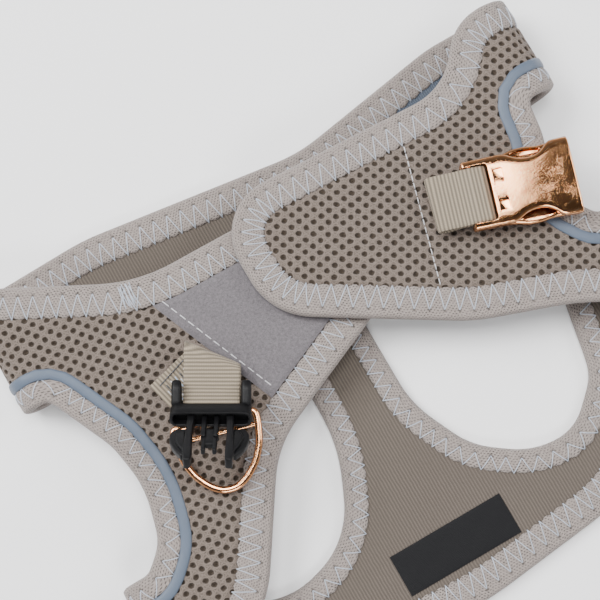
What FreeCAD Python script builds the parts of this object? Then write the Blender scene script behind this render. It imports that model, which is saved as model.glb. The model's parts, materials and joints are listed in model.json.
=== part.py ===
import FreeCAD, Part
import math
from FreeCAD import Vector

# Step-in vest harness laid flat: the chest panel lies at the bottom with its lining up,
# and both wings are folded over it, the right wing's tab over the left wing's loop patch.
# All lengths are millimetres. X runs across the dog, +Y towards its head, +Z up.

# ---- driving dimensions: cloth layers ----
mesh_thickness = 2.9
lining_thickness = 0.9
tape_wall = 0.7
tape_edge = 1.0
binding_width = 11.5
leg_binding_width = 8.5
piping_width = 4.0
patch_thickness = 0.9
label_thickness = 0.5
label_length = 46.0
label_depth = 16.0

# ---- driving dimensions: how the wings are folded over the chest ----
left_fold_x = -98.0
right_fold_x = 110.0
left_opening = 8.0
patch_clearance = 0.4
seam_gap = 0.3

# ---- driving dimensions: webbing and buckles ----
webbing_width = 20.0
webbing_thickness = 1.3
side_clearance = 0.3
lift_clearance = 0.3
bar_radius = 1.5
wrap_clearance = 0.3
male_base_length = 22.0
male_strap_length = 15.0
female_base_length = 24.0
female_strap_length = 12.5
ring_radius = 1.3
ring_width = 30.0
ring_length = 26.0
keeper_wall = 0.6
keeper_span = (-4.0, 10.0)
keeper_length = 7.0
buckle_clearance = 0.9

# male buckle, measured from its strap bar towards the prong tips
male_horn_width = 4.2
male_horn_thickness = 5.0
male_flange_start = 3.7
male_flange_end = 9.5
male_flange_thickness = 6.0
male_arm_gap = 0.5
male_arm_thickness = 4.8
male_arm_spacing = 8.5
male_guide_end = 24.0
male_guide_width = 6.0
male_guide_thickness = 3.2
male_rest_tilt = 45.0
male_guide_slot_start = 3.5
male_guide_slot_end = 3.0
male_guide_slot_half = 1.0
male_beam_half = 1.8

# outline of one arm: distance past its root, distance beyond the beam's outer (or inner) side, rounding
male_arm_outer = [(0.0, 0.0, 0.8), (6.0, 0.4, 5.0), (10.0, 3.0, 2.5), (15.0, 2.8, 3.0), (20.0, -1.4, 1.5)]
male_arm_inner = [(19.0, 0.5, 1.0), (13.0, 1.2, 5.0), (4.0, 0.3, 5.0)]

# female buckle, measured from its strap bar towards the mouth
female_side_arm = 2.2
female_slot_end = 6.5
female_length = 36.5
female_thickness = 8.4
female_waist_width = 20.0
female_mouth_width = 28.0
cavity_width = 23.0
cavity_height = 5.5
cavity_depth = 24.0
female_bar_rim = 1.0
female_rear_rounding = 1.5
female_shoulder_rounding = 2.5
female_shoulder_back = 1.5
female_waist_from = 2.0
female_waist_to = 9.0
female_waist_rounding = 6.0
female_flare_end = 14.0
female_flare_rounding = 5.0
female_mouth_rounding = 1.0

# ---- places of the hardware on the wings ----
male_fold = (-38.2, -4.3)
male_fold_angle = -52.75
male_base_angle = 14.5
male_strap_angle = 2.0 * male_fold_angle - male_base_angle
female_fold = (59.2, 3.6)
female_fold_angle = 74.65
female_base_angle = -13.0
female_strap_angle = -17.7
ring_bar_centre = (-48.0, -22.0)
ring_angle = -106.0

# ---- heights worked out from the layers ----
panel_thickness = mesh_thickness + lining_thickness
bound_thickness = panel_thickness + tape_wall
left_low = bound_thickness + left_opening
left_high = left_low + bound_thickness
loop_top = left_high + patch_thickness
right_low = loop_top + patch_clearance + patch_thickness - tape_wall
right_high = right_low + bound_thickness
leg_trim_width = leg_binding_width + piping_width
half_webbing = webbing_width / 2.0
wrap_radius = bar_radius + wrap_clearance + webbing_thickness

# ---- outlines: corner points with the radius that rounds each one ----
chest_outline = [
    (-140, 60, 0), (-92, 60, 40), (-58, 61, 80), (28, 49.5, 60), (90, 60, 60), (150, 60, 0),
    (150, -61, 0), (108, -61, 2), (108, -80, 20), (90, -109, 40), (60, -121, 60), (4, -127, 120),
    (-60, -122, 60), (-92, -100, 16), (-140, -100, 0),
]
chest_left_hole = [
    (-140, 14, 0), (-62, 14, 60), (-13, 10, 12), (-13.5, -52, 60), (-28, -84, 40),
    (-58, -92, 30), (-80, -78, 24), (-94, -58, 5), (-140, -58, 0),
]
chest_right_hole = [
    (150, 22, 0), (104, 22, 20), (70, 14, 40), (17, 10, 30), (17, -52, 40), (28, -76, 30),
    (46, -89, 30), (64, -91, 20), (80, -76, 16), (90, -27, 6), (150, -27, 0),
]
left_outline = [
    (-130, 60, 0), (-96, 60, 8), (-48, 35, 60), (26, 34, 14), (26, -15, 10), (-33, -41, 40),
    (-60, -82, 40), (-80, -100, 30), (-130, -100, 0),
]
left_hole = [
    (-130, 14, 0), (-96, 14, 3), (-84, -12, 20), (-81, -30, 40), (-86, -50, 16),
    (-95, -58, 3), (-130, -58, 0),
]
right_outline = [
    (140, 60, 0), (100, 60, 20), (84, 40, 30), (-12, 44, 24), (-12, 0, 26), (50, -38, 60),
    (84, -50, 60), (105, -61, 6), (140, -61, 0),
]
right_hole = [
    (140, 22, 0), (108, 22, 2), (106, 8, 20), (101, -6, 20), (101, -16, 12), (108, -27, 3),
    (140, -27, 0),
]
left_neck_strip = (14.0, 60.0)
left_rear_strip = (-58.0, -100.0)
right_neck_strip = (22.0, 60.0)
right_rear_strip = (-27.0, -61.0)
loop_patch_edge = ((-46.6, 23.6), (-25.8, -26.7))
hook_patch_edge = ((45.4, -22.1), (59.7, 27.9))
lining_joint_left = -71.0
lining_joint_right = 62.0
label_centre = (5.0, -104.0)
REACH = 400.0

nodes = {}


def inset_corners(points, inset):
    """Corner points of the outline moved inwards by inset, each with its new radius."""
    area = sum(a[0] * b[1] - b[0] * a[1] for a, b in zip(points, points[1:] + points[:1]))
    side = 1.0 if area > 0 else -1.0
    moved = []
    for before, here, after in zip(points[-1:] + points[:-1], points, points[1:] + points[:1]):
        arrive = Vector(here[0] - before[0], here[1] - before[1], 0).normalize()
        leave = Vector(after[0] - here[0], after[1] - here[1], 0).normalize()
        turn = arrive.x * leave.y - arrive.y * leave.x
        normal_in = Vector(-arrive.y, arrive.x, 0) * side
        normal_out = Vector(-leave.y, leave.x, 0) * side
        shift = (normal_in + normal_out) * (inset / (1.0 + normal_in.dot(normal_out)))
        radius = here[2] - inset if turn * side > 0 else here[2] + inset
        moved.append((Vector(here[0], here[1], 0) + shift, max(radius, 0.0) if here[2] else 0.0))
    return moved


def outline_wire(points, inset=0.0):
    """Closed wire of straight runs with a tangent arc at each rounded corner."""
    corners = inset_corners(points, inset)
    edges = []
    ends = []
    for before, here, after in zip(corners[-1:] + corners[:-1], corners, corners[1:] + corners[:1]):
        back = before[0] - here[0]
        ahead = after[0] - here[0]
        half = back.getAngle(ahead) / 2.0
        limit = 0.49 * min(back.Length, ahead.Length)
        radius = min(here[1], limit * math.tan(half))
        if radius < 0.05:
            ends.append((here[0], here[0], None))
            continue
        reach = radius / math.tan(half)
        back.normalize()
        ahead.normalize()
        bisector = (back + ahead).normalize()
        middle = here[0] + bisector * (radius / math.sin(half) - radius)
        ends.append((here[0] + back * reach, here[0] + ahead * reach, middle))
    for here, after in zip(ends, ends[1:] + ends[:1]):
        if here[2] is not None:
            edges.append(Part.Arc(here[0], here[2], here[1]).toShape())
        if (after[0] - here[1]).Length > 1e-6:
            edges.append(Part.LineSegment(here[1], after[0]).toShape())
    return Part.Wire(edges)


def plate(points, inset, low, high):
    """The outline, moved inwards by inset, as a plate between two heights."""
    body = Part.Face(outline_wire(points, inset)).extrude(Vector(0, 0, high - low))
    body.translate(Vector(0, 0, low))
    return body


def slab(x_low, x_high, y_low, y_high, low, high):
    """Box between the given limits."""
    corner = Vector(x_low, y_low, low)
    return Part.makeBox(x_high - x_low, y_high - y_low, high - low, corner)


def side_of(line, low, high):
    """Everything to the left of a line through two points, between two heights."""
    start = Vector(line[0][0], line[0][1], low)
    along = (Vector(line[1][0], line[1][1], low) - start).normalize()
    across = Vector(-along.y, along.x, 0)
    first = start - along * REACH
    second = start + along * REACH
    ring = [first, second, second + across * REACH, first + across * REACH, first]
    return Part.Face(Part.makePolygon(ring)).extrude(Vector(0, 0, high - low))


def sheet(outline, holes, edge, hole_edge, low, high):
    """A layer of cloth that stops short of the outline by edge and of its holes by hole_edge."""
    body = plate(outline, edge, low, high)
    for hole in holes:
        body = body.cut(plate(hole, -hole_edge, low - 1, high + 1))
    return body


def turned_over(shape, low, high):
    """The shape mirrored between two heights, so that its mesh side faces up."""
    return shape.mirror(Vector(0, 0, (low + high) / 2.0), Vector(0, 0, 1))


def panel(outline, holes):
    """Mesh, lining, outer binding, leg bindings and leg pipings, with the mesh side down at 0."""
    lining_top = panel_thickness
    wide = sheet(outline, holes, tape_edge, tape_edge, tape_wall, mesh_thickness)
    face = sheet(outline, holes, binding_width, leg_trim_width, 0, tape_wall)
    mesh = wide.fuse(face).removeSplitter()
    lining = sheet(outline, holes, tape_edge, tape_edge, mesh_thickness, lining_top)
    core = sheet(outline, holes, tape_edge, tape_edge, tape_wall, lining_top)
    whole = plate(outline, 0, 0, bound_thickness)
    binding = whole.cut(plate(outline, binding_width, -1, bound_thickness + 1)).cut(core)
    leg_bindings = []
    leg_pipings = []
    for hole in holes:
        ring = plate(hole, -leg_binding_width, 0, bound_thickness)
        ring = ring.cut(plate(hole, 0, -1, bound_thickness + 1))
        leg_bindings.append(ring.cut(core))
        trim = plate(hole, -leg_trim_width, 0, tape_wall)
        leg_pipings.append(trim.cut(plate(hole, -leg_binding_width, -1, tape_wall + 1)))
    return mesh, lining, binding, leg_bindings, leg_pipings


def raised(shape, height, clip):
    """A wing's layer turned mesh side up, set at its height and cut at the fold."""
    body = turned_over(shape, 0, bound_thickness)
    body.translate(Vector(0, 0, height))
    return body.common(clip)


def fold_ring(axis_x, axis_z, side, y_from, y_to, inner, outer):
    """Half of a tube about a fold line, on the outer side of it."""
    low = min(y_from, y_to)
    length = abs(y_to - y_from)
    start = Vector(axis_x, low, axis_z)
    tube = Part.makeCylinder(outer, length, start, Vector(0, 1, 0))
    tube = tube.cut(Part.makeCylinder(inner, length, start, Vector(0, 1, 0)))
    half = slab(0, outer + 1, low - 1, low + length + 1, axis_z - outer - 1, axis_z + outer + 1)
    if side < 0:
        half.translate(Vector(axis_x - outer - 1, 0, 0))
    else:
        half.translate(Vector(axis_x, 0, 0))
    return tube.common(half)


def fold_strip(axis_x, radius, side, strip):
    """The panel, the two bindings and the piping of one strip where it turns over its fold."""
    hole, edge = strip
    step = 1.0 if edge > hole else -1.0
    deep = radius - panel_thickness
    under = radius - tape_wall
    thin = radius - bound_thickness

    def ring(y_from, y_to, inner, outer):
        return fold_ring(axis_x, radius, side, y_from, y_to, inner, outer)

    cloth = ring(hole + step * tape_edge, edge - step * tape_edge, deep, under)
    face = ring(hole + step * leg_trim_width, edge - step * binding_width, under, radius)
    cloth = cloth.fuse(face).removeSplitter()
    outer_tape = ring(edge - step * binding_width, edge, thin, radius)
    outer_tape = outer_tape.cut(ring(edge - step * binding_width, edge - step * tape_edge, deep, under))
    leg_tape = ring(hole, hole + step * leg_binding_width, thin, radius)
    leg_tape = leg_tape.cut(ring(hole + step * tape_edge, hole + step * leg_binding_width, deep, under))
    trim = ring(hole + step * leg_binding_width, hole + step * leg_trim_width, under, radius)
    return cloth, [outer_tape, leg_tape], trim


def on_line(shape, centre, angle, height):
    """A shape drawn along +X from the origin, turned to an angle and set on its place."""
    body = shape.copy()
    body.rotate(Vector(0, 0, 0), Vector(0, 0, 1), angle)
    body.translate(Vector(centre[0], centre[1], height))
    return body


def fold_side(centre, angle, towards, low, high):
    """Everything on the side of a webbing's crease that a direction points to."""
    along = (math.cos(math.radians(angle)), math.sin(math.radians(angle)))
    ahead = (math.cos(math.radians(towards)), math.sin(math.radians(towards)))
    step = 1.0 if along[0] * ahead[1] - along[1] * ahead[0] > 0 else -1.0
    second = (centre[0] + step * along[0], centre[1] + step * along[1])
    return side_of((centre, second), low, high)


def cross_bar(x, z, radius, half_width):
    """Round bar across the webbing, at x along it."""
    start = Vector(x, -half_width, z)
    return Part.makeCylinder(radius, 2.0 * half_width, start, Vector(0, 1, 0))


def base_webbing(centre, base_angle, fold_angle, reach, height):
    """Strip of webbing sewn flat on a wing, ending along its crease."""
    ends = sorted((reach, -math.copysign(half_webbing, reach)))
    strip = slab(ends[0], ends[1], -half_webbing, half_webbing, 0, webbing_thickness)
    strip = on_line(strip, centre, base_angle, height)
    towards = base_angle if reach > 0 else base_angle + 180.0
    return strip.common(fold_side(centre, fold_angle, towards, height - 1, height + webbing_thickness + 1))


def webbing_loop(centre, strap_angle, fold_angle, length, roll_z, roll_radius, bar_z):
    """Doubled webbing from its rolled crease to the wrap around a buckle's bar."""
    low = bar_z - webbing_thickness
    high = bar_z + webbing_thickness
    strap = slab(-half_webbing, length, -half_webbing, half_webbing, low, high)
    strap = on_line(strap, centre, strap_angle, 0)
    strap = strap.common(fold_side(centre, fold_angle, strap_angle, low - 1, high + 1))
    skew = math.radians(fold_angle - strap_angle)
    roll_half = half_webbing / abs(math.sin(skew))
    roll = on_line(cross_bar(0, roll_z, roll_radius, roll_half), centre, fold_angle - 90.0, 0)
    band = slab(-REACH, REACH, -half_webbing, half_webbing, roll_z - 20, roll_z + 20)
    roll = roll.common(on_line(band, centre, strap_angle, 0))
    wrap = on_line(cross_bar(length, bar_z, wrap_radius, half_webbing), centre, strap_angle, 0)
    hole = cross_bar(length, bar_z, bar_radius + wrap_clearance, half_webbing + 1)
    hole = on_line(hole, centre, strap_angle, 0)
    return strap.fuse(roll).fuse(wrap).removeSplitter().cut(hole)


def female_shell():
    """Side-release buckle's socket: strap bar, body with a waist and an open mouth."""
    rear = half_webbing + side_clearance + female_side_arm
    waist = female_waist_width / 2.0
    mouth = female_mouth_width / 2.0
    waist_start = female_length - cavity_depth
    half_outline = [
        (-bar_radius - female_bar_rim, rear, female_rear_rounding),
        (waist_start - female_shoulder_back, rear, female_shoulder_rounding),
        (waist_start + female_waist_from, waist, female_shoulder_rounding),
        (waist_start + female_waist_to, waist, female_waist_rounding),
        (waist_start + female_flare_end, mouth - female_mouth_rounding, female_flare_rounding),
        (female_length, mouth, female_mouth_rounding),
    ]
    outline = half_outline + [(x, -y, r) for x, y, r in reversed(half_outline)]
    half_thick = female_thickness / 2.0
    body = plate(outline, 0, -half_thick, half_thick)
    slot_half = half_webbing + side_clearance
    body = body.cut(slab(-20, female_slot_end, -slot_half, slot_half, -20, 20))
    body = body.fuse(cross_bar(0, 0, bar_radius, slot_half + 0.5)).removeSplitter()
    cavity = slab(waist_start, female_length + 1, -cavity_width / 2.0, cavity_width / 2.0,
                  -cavity_height / 2.0, cavity_height / 2.0)
    return body.cut(cavity)


def male_frame():
    """Side-release buckle's plug without its arms: strap bar, two horns, flange and guide."""
    inner = half_webbing + side_clearance
    outer = inner + male_horn_width
    thick = male_horn_thickness / 2.0
    body = cross_bar(0, 0, bar_radius, inner + 0.5)
    for side in (-1, 1):
        low, high = sorted((side * inner, side * outer))
        body = body.fuse(slab(-bar_radius - 0.5, male_flange_start + 1, low, high, -thick, thick))
    rim = male_flange_thickness / 2.0
    flange = slab(male_flange_start, male_flange_end, -outer, outer, -rim, rim)
    guide_half = male_guide_width / 2.0
    guide_thick = male_guide_thickness / 2.0
    guide = slab(male_flange_end - 1, male_guide_end, -guide_half, guide_half, -guide_thick, guide_thick)
    slot = slab(male_flange_end + male_guide_slot_start, male_guide_end - male_guide_slot_end,
                -male_guide_slot_half, male_guide_slot_half, -REACH, REACH)
    return body.fuse(flange).fuse(guide).removeSplitter().cut(slot)


def male_arm(side):
    """One springy arm of the plug, with the paddle that latches in the socket's window."""
    root = male_flange_end + male_arm_gap
    near = male_arm_spacing - male_beam_half
    far = male_arm_spacing + male_beam_half
    outline = [(root, near, 0.5)]
    outline += [(root + x, far + y, r) for x, y, r in male_arm_outer]
    outline += [(root + x, near + y, r) for x, y, r in male_arm_inner]
    half = male_arm_thickness / 2.0
    return plate([(x, side * y, r) for x, y, r in outline], 0, -half, half)


def ring_solid():
    """Welded ring: straight bar for its keeper, two sides that meet in a rounded point."""
    half = ring_width / 2.0
    path = [
        (0, -half, 3.5), (0, half, 3.5), (ring_length * 0.35, half - 1.0, 12),
        (ring_length, 0, 7), (ring_length * 0.35, -half + 1.0, 12),
    ]
    wire = outline_wire(path)
    first = wire.OrderedEdges[0]
    start = first.valueAt(first.FirstParameter)
    along = first.tangentAt(first.FirstParameter)
    section = Part.Wire([Part.makeCircle(ring_radius, start, along)])
    return wire.makePipeShell([section], True, False)


def keeper_solid():
    """Small webbing tab that wraps the ring's bar and is sewn down behind it."""
    inner = ring_radius + wrap_clearance
    outer = inner + keeper_wall
    low, high = keeper_span
    band = slab(-REACH, REACH, low, high, -REACH, REACH)
    wrap = cross_bar(0, 0, outer, half_webbing).common(band)
    tab = slab(-keeper_length, 0, low, high, left_high - ring_z, -outer + 2.0 * keeper_wall)
    return wrap.fuse(tab).removeSplitter().cut(cross_bar(0, 0, inner, half_webbing + 1))


def keep(name, shape):
    """Put a sub-part in the list under the name of its node."""
    nodes[name] = shape


def make_chest():
    """Chest panel with its lining up, cut at both folds."""
    mesh, lining, binding, legs, pipings = panel(chest_outline, [chest_left_hole, chest_right_hole])
    clip = slab(left_fold_x, right_fold_x, -200, 200, -1, bound_thickness + 1)
    keep("chest_mesh", mesh.common(clip))
    lining = lining.common(clip)
    left_end = slab(-200, lining_joint_left, 0, 200, -1, bound_thickness + 1)
    right_end = slab(lining_joint_right, 200, 0, 200, -1, bound_thickness + 1)
    keep("left_neck_lining", lining.common(left_end))
    keep("right_neck_lining", lining.common(right_end))
    keep("chest_lining", lining.cut(left_end).cut(right_end))
    pieces = sorted(binding.common(clip).Solids, key=lambda piece: piece.CenterOfMass.y)
    keep("chest_rear_binding", pieces[0])
    keep("chest_neck_binding", pieces[-1])
    for name, leg, piping in zip(("left", "right"), legs, pipings):
        keep(name + "_leg_binding_under", leg.common(clip))
        keep(name + "_leg_piping_under", piping.common(clip))
    x, y = label_centre
    top = panel_thickness + label_thickness
    keep("label", slab(x - label_length / 2, x + label_length / 2, y - label_depth / 2, y + label_depth / 2,
                       panel_thickness, top))


def make_wing(name, outline, hole, low, clip):
    """One wing, mesh side up."""
    mesh, lining, binding, legs, pipings = panel(outline, [hole])
    keep(name + "_wing_mesh", raised(mesh, low, clip))
    keep(name + "_wing_lining", raised(lining, low, clip))
    keep(name + "_wing_binding", raised(binding, low, clip))
    keep(name + "_leg_binding", raised(legs[0], low, clip))
    keep(name + "_leg_piping", raised(pipings[0], low, clip))


def make_folds(name, axis_x, radius, side, neck, rear):
    """The two strips of one side where they turn from the chest up onto the wing."""
    neck_cloth, neck_tapes, neck_trim = fold_strip(axis_x, radius, side, neck)
    rear_cloth, rear_tapes, rear_trim = fold_strip(axis_x, radius, side, rear)
    keep(name + "_neck_fold", neck_cloth)
    keep(name + "_rear_fold", rear_cloth)
    keep(name + "_fold_bindings", Part.Compound(neck_tapes + rear_tapes))
    keep(name + "_fold_piping", Part.Compound([neck_trim, rear_trim]))


def make_patches():
    """Loop patch on the left wing's face and hook patch under the right wing's tab."""
    loop = plate(left_outline, binding_width, left_high, loop_top)
    keep("loop_patch", loop.common(side_of(loop_patch_edge, left_high - 1, loop_top + 1)))
    low = right_low + tape_wall - patch_thickness
    hook = plate(right_outline, binding_width, low, low + patch_thickness)
    keep("hook_patch", hook.common(side_of(hook_patch_edge, low - 1, low + patch_thickness + 1)))


def make_male():
    """Plug of the side-release buckle with its webbing, on the left wing."""
    keep("male_base_webbing", base_webbing(male_fold, male_base_angle, male_fold_angle,
                                           -male_base_length, left_high))
    keep("male_webbing_loop", webbing_loop(male_fold, male_strap_angle, male_fold_angle,
                                           male_strap_length, male_roll_z, male_roll_radius, male_bar_z))
    pieces = {"male_buckle_frame": male_frame(), "male_left_arm": male_arm(1), "male_right_arm": male_arm(-1)}
    for name, shape in pieces.items():
        body = shape.copy()
        body.rotate(Vector(0, 0, 0), Vector(0, 1, 0), -male_rest_tilt)
        body.translate(Vector(male_strap_length, 0, 0))
        keep(name, on_line(body, male_fold, male_strap_angle, male_bar_z))


def make_female():
    """Socket of the side-release buckle with its webbing, on the right wing."""
    keep("female_base_webbing", base_webbing(female_fold, female_base_angle, female_fold_angle,
                                             female_base_length, right_high))
    keep("female_webbing_loop", webbing_loop(female_fold, female_strap_angle, female_fold_angle,
                                             female_strap_length, female_roll_z, female_roll_radius,
                                             female_bar_z))
    body = female_shell()
    body.translate(Vector(female_strap_length, 0, 0))
    keep("female_buckle_shell", on_line(body, female_fold, female_strap_angle, female_bar_z))


def make_ring():
    """Leash ring and the tab that holds it."""
    keep("d_ring", on_line(ring_solid(), ring_bar_centre, ring_angle, ring_z))
    keeper = on_line(keeper_solid(), ring_bar_centre, ring_angle, ring_z)
    grown = half_webbing + side_clearance
    strip = slab(-male_base_length - side_clearance, half_webbing, -grown, grown, -1, REACH)
    keep("ring_keeper", keeper.cut(on_line(strip, male_fold, male_base_angle, left_high)))


# ---- heights of the hardware, worked out from what lies under it ----
ring_z = left_high + webbing_thickness + lift_clearance + ring_radius
male_bar_z = ring_z + ring_radius + lift_clearance + wrap_radius
male_roll_low = left_high + webbing_thickness + lift_clearance
male_roll_radius = (male_bar_z + webbing_thickness - male_roll_low) / 2.0
male_roll_z = male_roll_low + male_roll_radius
female_bar_z = right_high + webbing_thickness + buckle_clearance + female_thickness / 2.0
female_roll_low = right_high + webbing_thickness + lift_clearance
female_roll_radius = (female_bar_z + webbing_thickness - female_roll_low) / 2.0
female_roll_z = female_roll_low + female_roll_radius

make_chest()
make_wing("left", left_outline, left_hole, left_low,
          slab(left_fold_x + seam_gap, 200, -200, 200, 0, left_high + 1))
make_wing("right", right_outline, right_hole, right_low,
          slab(-200, right_fold_x - seam_gap, -200, 200, 0, right_high + 1))
make_folds("left", left_fold_x, left_high / 2.0, -1, left_neck_strip, left_rear_strip)
make_folds("right", right_fold_x, right_high / 2.0, 1, right_neck_strip, right_rear_strip)
make_patches()
make_male()
make_female()
make_ring()

# ---- the origin is under the middle of the whole harness ----
x_low = left_fold_x - left_high / 2.0
x_high = right_fold_x + right_high / 2.0
y_low = nodes["chest_rear_binding"].BoundBox.YMin
y_high = nodes["chest_neck_binding"].BoundBox.YMax
to_origin = Vector(-(x_low + x_high) / 2.0, -(y_low + y_high) / 2.0, 0)
for name, shape in nodes.items():
    shape.translate(to_origin)
    shape.exportStep("parts/" + name + ".step")
    print("%-26s solids %d valid %s volume %9.1f" % (name, len(shape.Solids), shape.isValid(), shape.Volume))
print("plan size %.2f by %.2f" % (x_high - x_low, y_high - y_low))


def datum(name, x, y, z):
    """Print a point of the finished harness, for its joints and interfaces."""
    print("datum %s %.4f %.4f %.4f" % (name, x + to_origin.x, y + to_origin.y, z + to_origin.z))


def along_strap(fold, angle, distance, across, z):
    """Print-ready point at a distance along a webbing and across it."""
    turn = math.radians(angle)
    x = fold[0] + distance * math.cos(turn) - across * math.sin(turn)
    y = fold[1] + distance * math.sin(turn) + across * math.cos(turn)
    return x, y, z


datum("origin", 0, 0, 0)
datum("left_fold", left_fold_x, 0, left_high / 2.0)
datum("right_fold", right_fold_x, 0, right_high / 2.0)
datum("male_fold", male_fold[0], male_fold[1], male_roll_z)
datum("male_bar", *along_strap(male_fold, male_strap_angle, male_strap_length, 0, male_bar_z))
tilt = math.radians(male_rest_tilt)
for label, side in (("male_left_arm_root", 1), ("male_right_arm_root", -1)):
    reach = male_flange_end + male_arm_gap + 0.5
    out = male_strap_length + reach * math.cos(tilt)
    datum(label, *along_strap(male_fold, male_strap_angle, out, side * male_arm_spacing,
                              male_bar_z + reach * math.sin(tilt)))
datum("female_fold", female_fold[0], female_fold[1], female_roll_z)
datum("female_bar", *along_strap(female_fold, female_strap_angle, female_strap_length, 0, female_bar_z))
datum("ring_bar", ring_bar_centre[0], ring_bar_centre[1], ring_z)
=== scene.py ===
import json
import math

import bmesh
import bpy
import numpy as np
from mathutils import Matrix, Vector


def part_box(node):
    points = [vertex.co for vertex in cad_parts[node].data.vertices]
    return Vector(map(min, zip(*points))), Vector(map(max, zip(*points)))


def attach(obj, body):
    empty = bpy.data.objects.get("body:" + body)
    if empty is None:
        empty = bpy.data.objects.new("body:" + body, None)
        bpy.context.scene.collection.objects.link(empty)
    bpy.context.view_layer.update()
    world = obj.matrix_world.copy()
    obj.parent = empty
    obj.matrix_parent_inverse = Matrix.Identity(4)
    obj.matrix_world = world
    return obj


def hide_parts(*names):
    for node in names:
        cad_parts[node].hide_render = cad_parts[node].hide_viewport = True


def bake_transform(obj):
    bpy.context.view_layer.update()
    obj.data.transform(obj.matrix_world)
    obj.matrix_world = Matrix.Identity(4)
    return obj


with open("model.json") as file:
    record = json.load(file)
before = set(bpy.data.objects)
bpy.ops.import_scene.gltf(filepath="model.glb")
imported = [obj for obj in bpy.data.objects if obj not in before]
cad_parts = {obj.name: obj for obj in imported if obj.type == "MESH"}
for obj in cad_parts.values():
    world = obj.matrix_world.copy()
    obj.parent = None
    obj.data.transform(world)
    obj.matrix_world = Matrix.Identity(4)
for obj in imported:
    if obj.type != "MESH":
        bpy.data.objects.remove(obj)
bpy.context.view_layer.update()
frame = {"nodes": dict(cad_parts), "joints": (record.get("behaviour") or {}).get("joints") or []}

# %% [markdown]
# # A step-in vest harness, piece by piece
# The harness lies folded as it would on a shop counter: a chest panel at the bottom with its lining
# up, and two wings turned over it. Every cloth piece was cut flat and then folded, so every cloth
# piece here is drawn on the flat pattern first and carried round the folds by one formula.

MM = 0.001
joint = {j["name"]: j for j in frame["joints"]}
lining_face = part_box("chest_mesh")[1].z
panel_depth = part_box("chest_lining")[1].z
bound_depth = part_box("chest_neck_binding")[1].z
tape_wall = bound_depth - panel_depth
binding_width = 11.5 * MM
leg_binding_width = 8.5 * MM
piping_width = 4.0 * MM
print("panel %.1f mm, bound edge %.1f mm" % (panel_depth / MM, bound_depth / MM))

# %% [markdown]
# ## From the flat pattern to the folded harness
# A fold keeps lengths, so a point is given by how far it lies past the fold line, its place along
# the fold, and its depth below the mesh face. Before the fold line it lies on the chest, then it
# goes half way round a cylinder, and after that it runs back over the chest on the wing.

# %% The fold as a formula
class Fold:
    """One side's fold. Past the fold line by s: x goes out by depth*sin(s/radius), z rises by
    depth*(1 - cos(s/radius)), and after half a turn the wing runs back the way it came."""

    def __init__(self, name, side):
        place = joint[name + "_wing_open"]["pos_m"]
        self.name = name
        self.side = side
        self.x = place[0]
        self.radius = place[2]
        self.turn = math.pi * self.radius

    def pattern(self, points):
        """Wing points (x, y) as pattern points (s, y)."""
        return np.stack([self.turn - self.side * (points[:, 0] - self.x), points[:, 1]], 1)

    def place(self, s, y, n):
        """Pattern point at depth n below the mesh face, in space."""
        s, y, n = np.broadcast_arrays(s, y, n)
        angle = np.clip(s / self.radius, 0.0, math.pi)
        arm = self.radius - n
        out = np.minimum(s, 0.0) + arm * np.sin(angle) - np.maximum(s - self.turn, 0.0)
        return np.stack([self.x + self.side * out, y, self.radius - arm * np.cos(angle)], -1)


def lie_flat(x, y, n):
    """Chest point at depth n: the mesh face lies on the floor and the lining faces up."""
    return np.stack(np.broadcast_arrays(x, y, n), -1)


left = Fold("left", -1)
right = Fold("right", 1)
print("folds at x %.1f and %.1f mm" % (left.x / MM, right.x / MM))

# %% [markdown]
# ## The cut edges
# The binding follows the cut edge of the cloth. The frame's binding nodes have that edge in them,
# as the border of their flat faces, so it is read from there, spaced evenly and softened a little,
# because a tape never turns as sharply as a drawn corner.

# %% Reading an edge from a flat face
def flat_border(node, height):
    """Borders of a node's flat face at a height: edges that only one of its triangles uses,
    chained end to end."""
    mesh = frame["nodes"][node].data
    mesh.calc_loop_triangles()
    points = np.empty(len(mesh.vertices) * 3)
    mesh.vertices.foreach_get("co", points)
    corners = np.empty(len(mesh.loop_triangles) * 3, dtype=np.int32)
    mesh.loop_triangles.foreach_get("vertices", corners)
    places, same = np.unique(np.round(points.reshape(-1, 3) / 1e-6).astype(np.int64), axis=0,
                             return_inverse=True)
    places = places * 1e-6
    triangles = same.reshape(-1)[corners].reshape(-1, 3)
    level = np.abs(places[triangles][:, :, 2] - height).max(1) < 2e-5
    triangles = triangles[level]
    sides = np.concatenate([triangles[:, [0, 1]], triangles[:, [1, 2]], triangles[:, [2, 0]]])
    pairs = set(map(tuple, sides.tolist()))
    follow = {a: b for a, b in pairs if (b, a) not in pairs}
    loops = []
    while follow:
        start = min(follow)
        loop = [start]
        here = follow.pop(start)
        while here != start:
            loop.append(here)
            here = follow.pop(here)
        loops.append(places[loop][:, :2])
    return loops


def cut_open(loop, lines):
    """The loop's parts between its runs along the given x lines."""
    on_line = np.zeros(len(loop), bool)
    for x in lines:
        on_line |= np.abs(loop[:, 0] - x) < 1e-5
    both = on_line & np.roll(on_line, -1)
    first = int(np.argmax(both)) + 1
    order = (np.arange(len(loop)) + first) % len(loop)
    loop = loop[order]
    ends = np.flatnonzero(both[order])
    parts = np.split(loop, ends + 1)
    return [part for part in parts if len(part) > 2]


def run_along(path):
    """How far along the path each of its points lies."""
    return np.concatenate([[0.0], np.cumsum(np.linalg.norm(np.diff(path, axis=0), axis=1))])


def bell(reach, step, width):
    """Weights of a bell curve at whole steps out to reach on both sides; they add up to 1."""
    weight = np.exp(-0.5 * (np.arange(-reach, reach + 1) * step / width) ** 2)
    return weight / weight.sum()


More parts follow.
